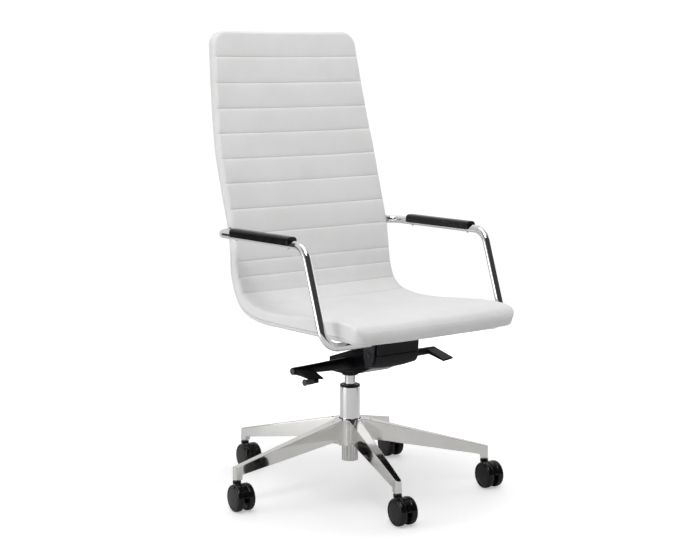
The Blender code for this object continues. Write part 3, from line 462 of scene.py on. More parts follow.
def quilt(x, s, e):
    """Outward swell of the front panel: rolls between seams, puckers and soft wrinkles."""
    gaps = s[..., None] - SEAMS
    nearest = np.argmin(np.abs(gaps), axis=-1)
    gap = np.take_along_axis(gaps, nearest[..., None], -1)[..., 0]
    distance = np.abs(gap)
    lowest = SEAMS.min()
    depth = np.interp(SEAMS[nearest], (lowest, lowest + ROLL_CHANGE, SEAMS.max()), ROLL_DEPTHS)
    drift = smooth_noise(x, s, 14.0, 3, (1.0, 0.6))
    shoulder = np.where(gap > 0, ROLL_ABOVE, ROLL_BELOW)
    roll = depth * (1.0 + 0.22 * drift) * (1 - np.exp(-distance / shoulder))
    on_seat = s < lowest
    settle = np.exp(-np.clip(lowest - s, 0.0, None) / SEAT_SETTLE)
    seat_roll = SEAT_ROLL * (1 - np.exp(-distance / SEAT_RISE)) * settle
    roll = np.where(on_seat, seat_roll + SEAT_ROLL * (1 - settle), roll)
    ripple = smooth_noise(x, s, 62.0, 5, (1.0, 0.12))
    pucker = 0.00050 * ripple * np.exp(-distance / 0.009) * np.clip(distance / 0.002, 0, 1)
    broad = smooth_noise(x, s, 9.0, 9) * 0.0011
    ends = np.exp(-np.clip(full_half(s) - np.abs(x) - 0.008, 0.0, None) / 0.016)
    gather = 0.0004 * smooth_noise(x, s, 110.0, 11, (0.5, 1.0)) * ends * (~on_seat)
    fade = smoothstep(np.clip(e / 0.009, 0.0, 1.0))
    crease = CREASE_DEPTH * np.exp(-(distance / CREASE_WIDTH) ** 2)
    return (roll + pucker + gather - crease) * fade + broad * fade - pleats(x, s)


PLEATS = (                      # x, s of the inner end, direction towards the edge, length
    (0.2120, 0.0500, 35.0, 0.026),
    (0.1820, 0.0260, 80.0, 0.020),
)


def pleats(x, s):
    """Depth of short tucks at the nose corners and of one long soft crease on the seat."""
    total = np.zeros_like(x)
    for at_x, at_s, angle, length in PLEATS:
        out, back = math.cos(math.radians(angle)), -math.sin(math.radians(angle))
        dx, ds = np.abs(x) - at_x, s - at_s
        along = dx * out + ds * back
        across = -dx * back + ds * out
        share = np.clip(along / length, 0.0, 1.0)
        reach = share * np.clip((length - along) / 0.012, 0.0, 1.0)
        wide = 0.0030 + 0.0035 * share
        total += 0.0034 * reach * np.exp(-(across / wide) ** 2)
        total -= 0.0016 * reach * np.exp(-((np.abs(across) - 0.0105) / 0.0050) ** 2)
    crease_line = (np.abs(x) - 0.150) * 0.55 + (s - 0.200) * 0.28
    crease = np.exp(-(crease_line / 0.0075) ** 2) * (s > 0.10) * (x < 0)
    span = np.clip((s - 0.10) / 0.05, 0, 1) * np.clip((0.34 - s) / 0.08, 0, 1)
    return total + 0.0010 * crease * span


def rounding(e, radius):
    """How deep a rounded edge lies below the flat at the distance e from the outline."""
    inner = np.clip(radius - e, 0.0, radius)
    return radius - np.sqrt(np.maximum(radius ** 2 - inner ** 2, 0.0))


def rim_ring(bm, x, s, order, amount, depth):
    """Vertices on the grid's boundary, moved inward square to the outline, at a depth."""
    flat_x, flat_s = x.ravel()[order], s.ravel()[order]
    tx, ts = (np.roll(flat, -1) - np.roll(flat, 1) for flat in (flat_x, flat_s))
    length = np.maximum(np.hypot(tx, ts), 1e-9)
    nx, ns = -ts / length, tx / length
    inward = np.sign(-nx * flat_x / SHELL_HALF + ns * (LINE.total / 2 - flat_s) / (LINE.total / 2))
    rim_x = flat_x + nx * inward * amount
    rim_s = np.clip(flat_s + ns * inward * amount, 0.0, LINE.total)
    return [bm.verts.new(p) for p in shell_points(rim_x, rim_s, depth)]


def cover(x, s, depth, rim, inset, inside):
    """Closed panel: outer grid at a depth, rim rings (amount, depth) and an inner side.

    Inside gives the inner side's depth for a shell thickness.
    """
    rows, columns = x.shape
    order = boundary(rows, columns)
    bm = bmesh.new()
    outer = [bm.verts.new(p) for p in shell_points(x, s, depth).reshape(-1, 3)]
    grid_faces(bm, outer, rows, columns)
    rings = [[outer[i] for i in order]]
    rings += [rim_ring(bm, x, s, order, amount, level) for amount, level in rim]
    for low, high in zip(rings, rings[1:]):
        bridge(bm, low, high)
    on_rim = dict(zip(order, rings[-1]))
    scale_x = (np.abs(x).max() - inset) / np.abs(x).max()
    inner_s = inset + s * (LINE.total - 2 * inset) / LINE.total
    points = shell_points(x * scale_x, inner_s, inside(LINE.at(inner_s)[2])).reshape(-1, 3)
    verts = [on_rim.get(i) or bm.verts.new(points[i]) for i in range(rows * columns)]
    grid_faces(bm, verts, rows, columns)
    return bm


FRONT_EDGE_R = 0.0068
REAR_EDGE_R = 0.0085
LIP = 0.0035                                 # how far the front panel wraps over the core
REAR_LIP = 0.0012


def front_panel():
    """Padded sitting side: rolls, rounded border and a lip that wraps the core's edge."""
    stations = fine_stations(SEAMS, FRONT_EDGE_R)
    x, s = panel_grid(stations, FRONT_EDGE_R)
    order = boundary(*x.shape)
    thickness = LINE.at(s)[2]
    wrap = smoothstep(np.clip((0.050 - s) / 0.030, 0.0, 1.0))
    seam_depth = thickness - (CORE_BACKING + 0.0002) * (1 - wrap) + 0.0006 * wrap
    radius = np.minimum(FRONT_EDGE_R, seam_depth - 0.0015)
    e = edge_distance(x, s)
    depth = rounding(e, radius) - quilt(x, s, e)

    rim_r = radius.ravel()[order]
    rim_d = seam_depth.ravel()[order]
    low_r = np.minimum(0.0012 + 0.0095 * wrap.ravel()[order], (rim_d - rim_r) * 0.9)
    rim = [(0.0, rim_r + (rim_d - low_r - rim_r) * at) for at in (0.3, 0.65, 1.0)]
    for turn in np.radians((15, 30, 45, 60, 75, 90)):
        rim.append((low_r * (1 - math.cos(turn)), rim_d - low_r * (1 - math.sin(turn))))
    rim += [(low_r + LIP, rim_d), (LIP, rim_d - CORE_T - CORE_CLEAR)]
    bm = cover(x, s, depth, rim, LIP, lambda t: t - CORE_BACKING - CORE_T - CORE_CLEAR - 0.0002)
    result = piece("front_panel", bm, LEATHER, "seat", ("front_upholstery",), None)


UNDERLAY_HALF = 0.216
UNDERLAY_FRONT_Y = -0.292
UNDERLAY_REAR_Y = 0.062
UNDERLAY_TOP_Z = 0.46


def rear_panel():
    """Outer cover of the shell, with a rounded border and a black sheet under the seat."""
    x, s = panel_grid(fine_stations([], REAR_EDGE_R), REAR_EDGE_R)
    rows, columns = x.shape
    thickness = LINE.at(s)[2]
    e = edge_distance(x, s)
    broad = (smooth_noise(x, s, 7.0, 21, layer=4.0) * 0.0007
             + smooth_noise(x, s, 24.0, 22, layer=4.0) * 0.0002)
    depth = thickness - rounding(e, REAR_EDGE_R) + broad * np.clip(e / 0.012, 0.0, 1.0)
    rim_t = thickness.ravel()[boundary(rows, columns)]
    start = rim_t - REAR_EDGE_R
    stop = rim_t - CORE_BACKING + 0.0003
    rim = [(amount, start + (stop - start) * at)
           for amount, at in ((0.0, 0.5), (0.0004, 0.85), (REAR_LIP, 1.0))]
    bm = cover(x, s, depth, rim, REAR_LIP, lambda t: t - CORE_BACKING + 0.0003)
    bm.faces.ensure_lookup_table()
    for face in bm.faces[:(rows - 1) * (columns - 1)]:
        middle = face.calc_center_median()
        if (abs(middle.x) < UNDERLAY_HALF and UNDERLAY_FRONT_Y < middle.y < UNDERLAY_REAR_Y
                and middle.z < UNDERLAY_TOP_Z):
            face.material_index = 1
    result = piece("rear_panel", bm, (REAR_LEATHER, UNDERLAY), "seat",
                   ("rear_upholstery",), None)


# ---------------------------------------------------------------- solid helpers

def around(count):
    """Angles of evenly spaced places on a circle."""
    return [2 * math.pi * i / count for i in range(count)]


def lathe(bm, profile, sides, matrix=None):
    """Turn (radius, height) points about Z into bm; radius 0 makes a pole, else it closes."""
    matrix = matrix or Matrix()
    rings = []
    for radius, z in profile:
        angles = around(sides) if radius else [0.0]
        ring = [matrix @ Vector((radius * math.cos(a), radius * math.sin(a), z)) for a in angles]
        rings.append([bm.verts.new(point) for point in ring])
    pairs = list(zip(rings, rings[1:]))
    if len(rings[0]) > 1:
        pairs.append((rings[-1], rings[0]))
    for low, high in pairs:
        for i in range(sides):
            j = (i + 1) % sides
            corners = [low[i % len(low)], low[j % len(low)],
                       high[j % len(high)], high[i % len(high)]]
            bm.faces.new(list(dict.fromkeys(corners)))


def turned(name, profile, sides, look, body, node, matrix=None):
    """A piece that is one turned profile and replaces one CAD node."""
    bm = bmesh.new()
    lathe(bm, profile, sides, matrix)
    piece(name, bm, look, body, (node,), 30)


def arc(centre_u, centre_v, radius, start, end, steps):
    """Points on a circle from one angle to another, in degrees."""
    angles = [math.radians(start + (end - start) * i / steps) for i in range(steps + 1)]
    return [(centre_u + radius * math.cos(a), centre_v + radius * math.sin(a)) for a in angles]


# Where the outline's two coordinates and the pull go, by the axis of the pull.
AXES = {"X": lambda u, v, w: Vector((w, u, v)),
        "Y": lambda u, v, w: Vector((u, w, v)),
        "Z": lambda u, v, w: Vector((u, v, w))}


def loft(bm, rings):
    """Skin through rings of points, with flat ends."""
    verts = [[bm.verts.new(p) for p in ring] for ring in rings]
    for low, high in zip(verts, verts[1:]):
        bridge(bm, low, high)
    bm.faces.new(verts[0])
    bm.faces.new(verts[-1])


def extrude(outline, start, end, axis="X"):
    """New bmesh: an outline drawn square to an axis, pulled out along it."""
    part = bmesh.new()
    loft(part, [[AXES[axis](u, v, w) for u, v in outline] for w in (start, end)])
    bmesh.ops.recalc_face_normals(part, faces=part.faces[:])
    return part


def soften(part, radius, segments, angle):
    """Round every edge sharper than the angle."""
    edges = [e for e in part.edges if e.is_manifold
             and e.calc_face_angle(0.0) > math.radians(angle)]
    bmesh.ops.bevel(part, geom=edges, offset=radius, segments=segments, profile=0.5,
                    affect="EDGES", clamp_overlap=True)


def rounded_prism(bm, outline, start, end, radius, axis="X", matrix=None, segments=3,
                  angle=20.0):
    """Extruded outline with every edge sharper than angle rounded to radius."""
    part = extrude(outline, start, end, axis)
    soften(part, radius, segments, angle)
    absorb(bm, part, matrix)


def absorb(bm, part, matrix=None):
    """Move another bmesh's faces into bm."""
    part.verts.index_update()
    verts = [bm.verts.new(matrix @ v.co if matrix else v.co) for v in part.verts]
    for face in part.faces:
        bm.faces.new([verts[v.index] for v in face.verts])
    part.free()


def bent_path(corners, radii, steps):
    """Polyline through the corners with each inner corner rounded to its radius."""
    corners = [Vector(c) for c in corners]
    points = [corners[0]]
    for before, here, after, radius in zip(corners, corners[1:], corners[2:], radii):
        back = (before - here).normalized()
        ahead = (after - here).normalized()
        half = back.angle(ahead) / 2
        reach = radius / math.tan(half)
        centre = here + (back + ahead).normalized() * (radius / math.sin(half))
        first = here + back * reach - centre
        last = here + ahead * reach - centre
        sweep = first.angle(last)
        for i in range(steps + 1):
            t = i / steps
            mix = first * math.sin((1 - t) * sweep) + last * math.sin(t * sweep)
            points.append(centre + mix / math.sin(sweep))
    points.append(corners[-1])
    return points


def tube(bm, points, radii, sides):
    """Round bar along a polyline, with a radius for each point."""
    tangent = (points[1] - points[0]).normalized()
    normal = tangent.orthogonal().normalized()
    rings = []
    for i, point in enumerate(points):
        ahead = points[min(i + 1, len(points) - 1)]
        behind = points[max(i - 1, 0)]
        turn = tangent.rotation_difference((ahead - behind).normalized())
        tangent = turn @ tangent
        normal = (turn @ normal).normalized()
        side = tangent.cross(normal)
        rings.append([point + radii[i] * (math.cos(a) * normal + math.sin(a) * side)
                      for a in around(sides)])
    loft(bm, rings)


def along_x(y, z):
    """Matrix that lays a lathe's axis along X through (y, z)."""
    return Matrix.Translation((0.0, y, z)) @ Matrix.Rotation(math.pi / 2, 4, "Y")


# ---------------------------------------------------------------- star base

ARM_COUNT = 5
FIRST_ARM_ANGLE = math.radians(-19.5)
BOSS_RADIUS_AT = 0.341
ARM_TIP = 0.3503
TIP_CORNER_R = 0.0055
FILLET_R = 0.0120
HUB_TOP_Z = 0.1765
HUB_LOW_Z = 0.1120
POCKET_R = 0.0282
SLEEVE_R = 0.0200
SLEEVE_TOP_Z = 0.1105
SLEEVE_BOTTOM_Z = 0.0680
BOSS_BOTTOM_Z = 0.0716
SECTOR = math.pi / ARM_COUNT                 # half the angle between two arms
TOP_SLOPE = 0.236
LOW_SLOPE = 0.153
RIB_COUNT = 16
MARK_RADIUS_AT = 0.0525
SLEEVE_SIDES = 100


def arm_angle(index):
    return FIRST_ARM_ANGLE + 2 * SECTOR * index - math.pi / 2


def arm_top_z(x):
    return np.minimum(0.185 - TOP_SLOPE * x, HUB_TOP_Z)


def arm_low_z(x):
    """Lower edge: straight, stepping down at the castor boss and into the hub."""
    low = np.where(x > 0.3305, BOSS_BOTTOM_Z, 0.133 - LOW_SLOPE * x)
    return low + (HUB_LOW_Z - low) * smoothstep(np.clip((0.058 - x) / 0.018, 0.0, 1.0))


def arm_side(level, inset):
    """Half of an arm's plan outline, from the fillet beside the hub to the tip's middle.

    Level is 0 at the arm's top and 1 at its lower edge: the sides are drafted.
    """
    width = 0.0155 + 0.0026 * level - inset
    taper = 0.0230 + 0.0040 * level
    fillet = FILLET_R + inset
    reach = ((fillet * math.hypot(1.0, taper) + width)
             / (math.sin(SECTOR) + taper * math.cos(SECTOR)))
    cx, cy = reach * math.cos(SECTOR), reach * math.sin(SECTOR)
    end = math.degrees(math.atan2(-1.0, -taper)) % 360
    points = arc(cx, cy, fillet, 180 + math.degrees(SECTOR), end, 12)
    tip = ARM_TIP - inset
    start = points[-1][0]
    corner = TIP_CORNER_R - inset
    stops = [start + (0.3285 - start) * t for t in (0.02, 0.06, 0.12, 0.2, 0.32, 0.46, 0.62,
                                                    0.80, 1.0)]
    stops += [0.3300, 0.3312]
    points += [(x, width - taper * x) for x in stops]
    half = width - taper * (tip - corner)
    points += arc(tip - corner, half - corner, corner, 88, 0, 6)
    points.append((tip, (half - corner) * 0.4))
    return points


def arm_spine(stops, rim_r):
    """Inner partners of the side points: round the hub's rim, then down the middle."""
    spine = []
    hub_count = sum(1 for x in stops if x < 0.066)
    for i, x in enumerate(stops):
        if i < hub_count:
            angle = SECTOR * (1 - i / (hub_count - 1))
            spine.append((rim_r * math.cos(angle), rim_r * math.sin(angle)))
        else:
            blend = min(1.0, (x - 0.055) / 0.035)
            spine.append((rim_r + (min(x, ARM_TIP - 0.004) - rim_r) * blend, 0.0))
    return np.array(spine)


def star_arms(bm):
    """Five drafted arms with rounded edges that run into the hub with concave fillets."""
    edge = ((0.0012, 0.0), (0.0005, 0.0002), (0.0001, 0.0007), (0.0, 0.0013))
    levels = [(0.0, inset, -lift) for inset, lift in edge]
    levels += [(0.33, 0.0, 0.0), (0.66, 0.0, 0.0)]
    levels += [(1.0, inset, lift) for inset, lift in edge[::-1]]
    for index in range(ARM_COUNT):
        turn = Matrix.Rotation(arm_angle(index), 4, "Z")
        for mirror in (1, -1):
            sides = [np.array(arm_side(level, inset)) for level, inset, _ in levels]
            spine = arm_spine(sides[0][:, 0], POCKET_R)
            plans = [(spine, arm_top_z(spine[:, 0]))]
            for side, (level, _, lift) in zip(sides, levels):
                top, low = arm_top_z(side[:, 0]), arm_low_z(side[:, 0])
                plans.append((side, top + (low - top) * level + lift))
            spine = arm_spine(sides[-1][:, 0], SLEEVE_R)
            on_sleeve = np.hypot(*spine.T) < SLEEVE_R + 0.001
            plans.append((spine, np.where(on_sleeve, SLEEVE_TOP_Z, arm_low_z(spine[:, 0]))))
            rows = [np.column_stack([plan * (1, mirror), z]) for plan, z in plans]
            verts = [[bm.verts.new(turn @ Vector(p)) for p in row] for row in rows]
            for a, b in zip(verts, verts[1:]):
                for i in range(len(a) - 1):
                    bm.faces.new((a[i], a[i + 1], b[i + 1], b[i]))
            tip = [row[-1] for row in verts]
            middle = [bm.verts.new(turn @ Vector((p[-1][0], 0.0, p[-1][2]))) for p in rows]
            for a, b, c, d in zip(tip, tip[1:], middle[1:], middle):
                bm.faces.new((a, b, c, d))
    bmesh.ops.remove_doubles(bm, verts=bm.verts[:], dist=0.00002)


def star_base():
    """The arms, the hub's pocket, the ribbed sleeve below it and five casting marks."""
    bm = bmesh.new()
    star_arms(bm)
    pocket = [(POCKET_R, HUB_TOP_Z), (POCKET_R - 0.0002, 0.1700), (0.0262, 0.1690),
              (0.0262, 0.1200), (0.0186, 0.1120), (0.0186, SLEEVE_BOTTOM_Z),
              (SLEEVE_R - 0.0012, SLEEVE_BOTTOM_Z), (SLEEVE_R - 0.0012, SLEEVE_TOP_Z),
              (SLEEVE_R, SLEEVE_TOP_Z)]
    rings = [[bm.verts.new((radius * math.cos(a), radius * math.sin(a), z))
              for a in around(SLEEVE_SIDES)] for radius, z in pocket]
    for a, b in zip(rings, rings[1:]):
        bridge(bm, a, b)
    piece("star_casting", bm, ALUMINIUM, "base", ("star_base",), 28)
    ribs = bmesh.new()
    half = ((-0.0018, 0.0033), (0.0002, 0.0030), (0.0007, 0.0012))
    outline = [(SLEEVE_R + out, -wide) for out, wide in half]
    outline += [(SLEEVE_R + out, wide) for out, wide in half[::-1]]
    for angle in around(RIB_COUNT):
        turn = Matrix.Rotation(angle, 4, "Z")
        rounded_prism(ribs, outline, SLEEVE_BOTTOM_Z + 0.0004, SLEEVE_TOP_Z + 0.0005, 0.0004,
                      "Z", turn, 2)
    piece("sleeve_ribs", ribs, ALUMINIUM, "base")
    dots = bmesh.new()
    for index in range(ARM_COUNT):
        place = (Matrix.Rotation(arm_angle(index), 4, "Z")
                 @ Matrix.Translation((MARK_RADIUS_AT, 0.0, float(arm_top_z(MARK_RADIUS_AT))))
                 @ Matrix.Rotation(math.atan(TOP_SLOPE), 4, "Y"))
        lathe(dots, [(0.0, -0.001), (0.0026, -0.001), (0.0026, 0.0001), (0.0022, 0.00015),
                     (0.0018, -0.0003), (0.0, -0.0004)], 20, place)
    piece("casting_marks", dots, MATT_COAT, "base")


# ---------------------------------------------------------------- castors

WHEEL_R = 0.0335
AXLE_Z = WHEEL_R * math.cos(math.pi / 24)
CASTER_HEADING = math.radians(-7.1)
CASTER_TRAIL = 0.022

WHEEL_PROFILE = [(0.0, 0.0190), (0.0034, 0.0190), (0.0034, 0.0062), (0.0120, 0.0062),
                 (0.0132, 0.0070), (0.0262, 0.0070), (0.0274, 0.0062), (0.0300, 0.0063),
                 (0.0316, 0.0071), (0.0326, 0.0084), (0.0331, 0.0102), (AXLE_Z, 0.0125),
                 (AXLE_Z, 0.0165), (0.0330, 0.0186), (0.0325, 0.0202), (0.0316, 0.0216),
                 (0.0303, 0.0226), (0.0288, 0.0231), (0.0272, 0.0232), (0.0264, 0.0230),
                 (0.0260, 0.0225), (0.0258, 0.0218), (0.0252, 0.0218), (0.0250, 0.0224),
                 (0.0245, 0.0228), (0.0190, 0.0231), (0.0120, 0.0233), (0.0050, 0.0234),
                 (0.0, 0.0234)]              # (radius, distance out from the middle)


def castor_frame(index):
    """Matrix of a castor's swivel axis, turned to the castor's heading."""
    angle = arm_angle(index)
    boss = Vector((BOSS_RADIUS_AT * math.cos(angle), BOSS_RADIUS_AT * math.sin(angle), 0.0))
    return Matrix.Translation(boss) @ Matrix.Rotation(CASTER_HEADING, 4, "Z")


def castors():
    """Two dished wheels and a hood with its web and neck, five times."""
    for index in range(ARM_COUNT):
        label = str(index + 1)
        swivel = castor_frame(index)
        for side, word in ((1, "left"), (-1, "right")):
            bm = bmesh.new()
            lathe(bm, WHEEL_PROFILE, 72,
                  swivel @ Matrix.Translation((0.0, -CASTER_TRAIL, AXLE_Z))
                  @ Matrix.Rotation(side * math.pi / 2, 4, "Y"))
            node = "caster_wheel_" + word + "_" + label
            piece("wheel_" + word + "_" + label, bm, CASTOR_PLASTIC, BODY_OF[node],
                  (node,), 40)
        hood = bmesh.new()
        web = arc(-CASTER_TRAIL, AXLE_Z, 0.0333, -38, 172, 48)
        web += arc(-CASTER_TRAIL, AXLE_Z, 0.0150, 190, 310, 16)
        rounded_prism(hood, web, -0.0056, 0.0056, 0.0006, "X", swivel, 2, 35)
        neck = [(-0.0125, 0.038), (0.0088, 0.040), (0.0098, 0.052), (0.0098, 0.0645),
                (0.0060, 0.0672), (-0.0070, 0.0672), (-0.0135, 0.0650)]
        rounded_prism(hood, neck, -0.0054, 0.0054, 0.0012, "X", swivel, 3, 12)
        lathe(hood, [(0.0040, 0.0560), (0.0086, 0.0560), (0.0104, 0.0650), (0.0106, 0.0680),
                     (0.0102, 0.0690), (0.0092, 0.0692), (0.0060, 0.0692), (0.0056, 0.0680),
                     (0.0040, 0.0680)], 40, swivel)
        node = "caster_hood_" + label
        piece("hood_" + label, hood, CASTOR_PLASTIC, BODY_OF[node], (node,))


# ---------------------------------------------------------------- gas column

def gas_column():
    """Outer tube, guide ring and tapered cylinder."""
    turned("outer_tube", [
        (0.0043, 0.0745), (0.0152, 0.0745), (0.0155, 0.0750), (0.0155, 0.1125), (0.0246, 0.1125),
        (0.0250, 0.1130), (0.0250, 0.2572), (0.0247, 0.2578), (0.0240, 0.2580), (0.0225, 0.2580),
        (0.0225, 0.1155), (0.0135, 0.1155), (0.0135, 0.0785), (0.0043, 0.0785)],
        96, CHROME, "base", "column_tube")
    turned("guide_ring", [
        (0.0144, 0.1850), (0.0222, 0.1850), (0.0222, 0.2583), (0.0251, 0.2583), (0.0255, 0.2588),
        (0.0255, 0.2628), (0.0251, 0.2635), (0.0240, 0.2640), (0.0180, 0.2640), (0.0160, 0.2632),
        (0.0152, 0.2620), (0.0144, 0.2615)],
        96, LEVER_PLASTIC, "base", "column_guide")
    turned("inner_cylinder", [
        (0.0, 0.2500), (0.0043, 0.2500), (0.0043, 0.1180), (0.0130, 0.1180), (0.0140, 0.1200),
        (0.0140, 0.2880), (0.0128, 0.3352), (0.0124, 0.3360), (0.0043, 0.3360),
        (0.0043, 0.3040), (0.0, 0.3040)],
        80, CHROME, "mechanism", "gas_cylinder")


# ---------------------------------------------------------------- armrests

def arm_rear_y():
    """Where the shell's core passes the armrest's height, as in the CAD."""
    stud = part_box("arm_stud_left")
    return (stud[0][1] + stud[1][1]) / 2 - COLUMN.y


def armrests():
    """Bent tubes with a washer at the shell and a flange under the seat, and their pads."""
    rear_y = arm_rear_y()
    for side, label in ((-1, "right"), (1, "left")):
        x = side * ARM_X
        end_x = side * (SHELL_HALF + 0.0003)
        corners = [(side * FOOT_END_X, LEG_FOOT_Y, LEG_FOOT_Z), (x, LEG_FOOT_Y, LEG_FOOT_Z),
                   (x, ARM_BEND_Y + 0.004, ARM_Z), (x, rear_y, ARM_Z), (end_x, rear_y, ARM_Z)]
        path = bent_path(corners, (0.040, 0.045, 0.027), 18)
        bm = bmesh.new()
        tube(bm, path, [ARM_TUBE_R] * len(path), 48)
        lathe(bm, [(0.0042, 0.2474), (0.0125, 0.2474), (0.0130, 0.2478), (0.0130, 0.2492),
                   (0.0124, 0.2498), (0.0101, 0.2500), (0.0042, 0.2500)], 48,
              Matrix.Translation((0, rear_y, ARM_Z))
              @ Matrix.Rotation(side * math.pi / 2, 4, "Y"))
        foot = side * FOOT_END_X
        flange = [(foot - 0.025, LEG_FOOT_Y - 0.022), (foot + 0.025, LEG_FOOT_Y - 0.022),
                  (foot + 0.025, LEG_FOOT_Y + 0.022), (foot - 0.025, LEG_FOOT_Y + 0.022)]
        rounded_prism(bm, flange, LEG_FOOT_Z + 0.0062, LEG_FOOT_Z + 0.0120, 0.0012, "Z")
        piece("arm_tube_" + label, bm, CHROME, "seat", ("arm_frame_" + label,), 30)
        arm_pad(x, label)


# ---------------------------------------------------------------- mechanism

HOUSING_HALF = 0.045
PIVOT_Y = -0.161
PIVOT_Z = 0.3665
PIVOT_HALF = 0.0645
BLOCK_REAR_Y = -0.1373
NOSE_CUTS = 7                   # sections along the cross block on each side of its middle
NOSE_STEP = 0.0085
NOSE_SAG = 0.0085               # how far its lower edge bellies down in the middle
NOSE_SAG_TOP_Z = 0.3560
NOSE_SAG_RUN = 0.0250
PLATE_TOP_Z = 0.4355
PLATE_LOW_Z = 0.4315
PLATE_HALF = 0.085
LEVER_Y = -0.060
LEVER_Z = 0.333
KNOB_Y = -0.1165
KNOB_Z = 0.3155
GRIP_COUNT = 20
EAR_HALF = 0.0225
EAR_TIP_R = 0.0180
EAR_TIP_DROP = 0.0045           # of the ear's round end below the pin
BEAD_X = 0.034
BOLT_SPOTS = ((-0.062, -0.120), (0.062, -0.120), (-0.062, 0.045), (0.062, 0.045))


def housing():
    """Boat-shaped tray with a soft lower edge, side panels, lever bushes and the gas socket."""
    outline = [(0.0260, 0.3360), (0.0262, 0.3085)]
    outline += arc(0.0162, 0.3095, 0.0095, 0, -90, 6)
    outline += [(-0.0350, 0.3000), (-0.0700, 0.3048), (-0.0950, 0.3110), (-0.1370, 0.3290),
                (-0.1370, 0.3880), (-0.0900, 0.3745), (-0.0350, 0.3560)]
    part = extrude(outline, -HOUSING_HALF, HOUSING_HALF)
    part.normal_update()
    lids = [f for f in part.faces if f.normal.z > 0.7]
    bmesh.ops.inset_region(part, faces=lids, thickness=0.004, use_even_offset=True)
    bmesh.ops.translate(part, verts=list({v for f in lids for v in f.verts}),
                        vec=(0.0, 0.0, -0.022))
    part.normal_update()
    sides = [f for f in part.faces if abs(f.normal.x) > 0.95 and f.calc_area() > 0.002]
    bmesh.ops.inset_individual(part, faces=sides, thickness=0.0065, use_even_offset=True)
    bmesh.ops.inset_individual(part, faces=sides, thickness=0.0012, depth=-0.0010,
                               use_even_offset=True)
    soften(part, 0.0034, 4, 50)
    bm = bmesh.new()
    absorb(bm, part)
    lathe(bm, [(0.0142, 0.2884), (0.0190, 0.2880), (0.0206, 0.2888), (0.0212, 0.2905),
               (0.0214, 0.3020), (0.0142, 0.3020)], 72)
    for side in (-1, 1):
        lathe(bm, [(0.0, 0.0), (0.0150, 0.0), (0.0146, 0.0022), (0.0120, 0.0034),
                   (0.0062, 0.0036), (0.0062, 0.0044), (0.0, 0.0044)], 48,
              along_x(LEVER_Y, LEVER_Z) @ Matrix.Rotation((1 - side) * math.pi / 2, 4, "X")
              @ Matrix.Translation((0, 0, HOUSING_HALF - 0.0006)))
    piece("mechanism_tray", bm, BLACK_COAT, "mechanism", ("mechanism_housing",),
          25)


def pivot_block():
    """Cross block: glossy band above a groove, matt nose that bellies down in the middle."""
    rear = BLOCK_REAR_Y
    bm = bmesh.new()
    upper = [(rear, 0.4050), (-0.1760, 0.4050)]
    upper += arc(-0.1770, 0.3960, 0.0090, 90, 180, 6)
    upper += [(-0.1862, 0.3696), (rear, 0.3696)]
    rounded_prism(bm, upper, -PIVOT_HALF, PIVOT_HALF, 0.0012, angle=25)
    glossy = len(bm.faces)
    lower = [(rear, 0.3680), (-0.1850, 0.3680), (-0.1866, 0.3664), (-0.1866, 0.3590)]
    lower += arc(-0.1666, 0.3600, 0.0200, 184, 256, 12)
    lower += [(rear, 0.3340)]
    nose = bmesh.new()
    rounded_prism(nose, lower, -PIVOT_HALF, PIVOT_HALF, 0.0022, segments=4, angle=25)
    for step in range(-NOSE_CUTS, NOSE_CUTS + 1):
        parts = nose.verts[:] + nose.edges[:] + nose.faces[:]
        bmesh.ops.bisect_plane(nose, geom=parts, plane_co=(step * NOSE_STEP, 0.0, 0.0),
                               plane_no=(1.0, 0.0, 0.0))
    for vert in nose.verts:
        share = min(1.0, max(0.0, (NOSE_SAG_TOP_Z - vert.co.z) / NOSE_SAG_RUN))
        vert.co.z -= NOSE_SAG * share * (1.0 - (vert.co.x / PIVOT_HALF) ** 2)
    absorb(bm, nose)
    groove = [(rear, 0.3700), (-0.1842, 0.3700), (-0.1842, 0.3676), (rear, 0.3676)]
    rounded_prism(bm, groove, -PIVOT_HALF + 0.0015, PIVOT_HALF - 0.0015, 0.0002)
    bm.faces.ensure_lookup_table()
    for face in bm.faces[glossy:]:
        face.material_index = 1
    piece("pivot_block", bm, (BLACK_COAT, MATT_COAT), "mechanism",
          ("pivot_housing",), 25)


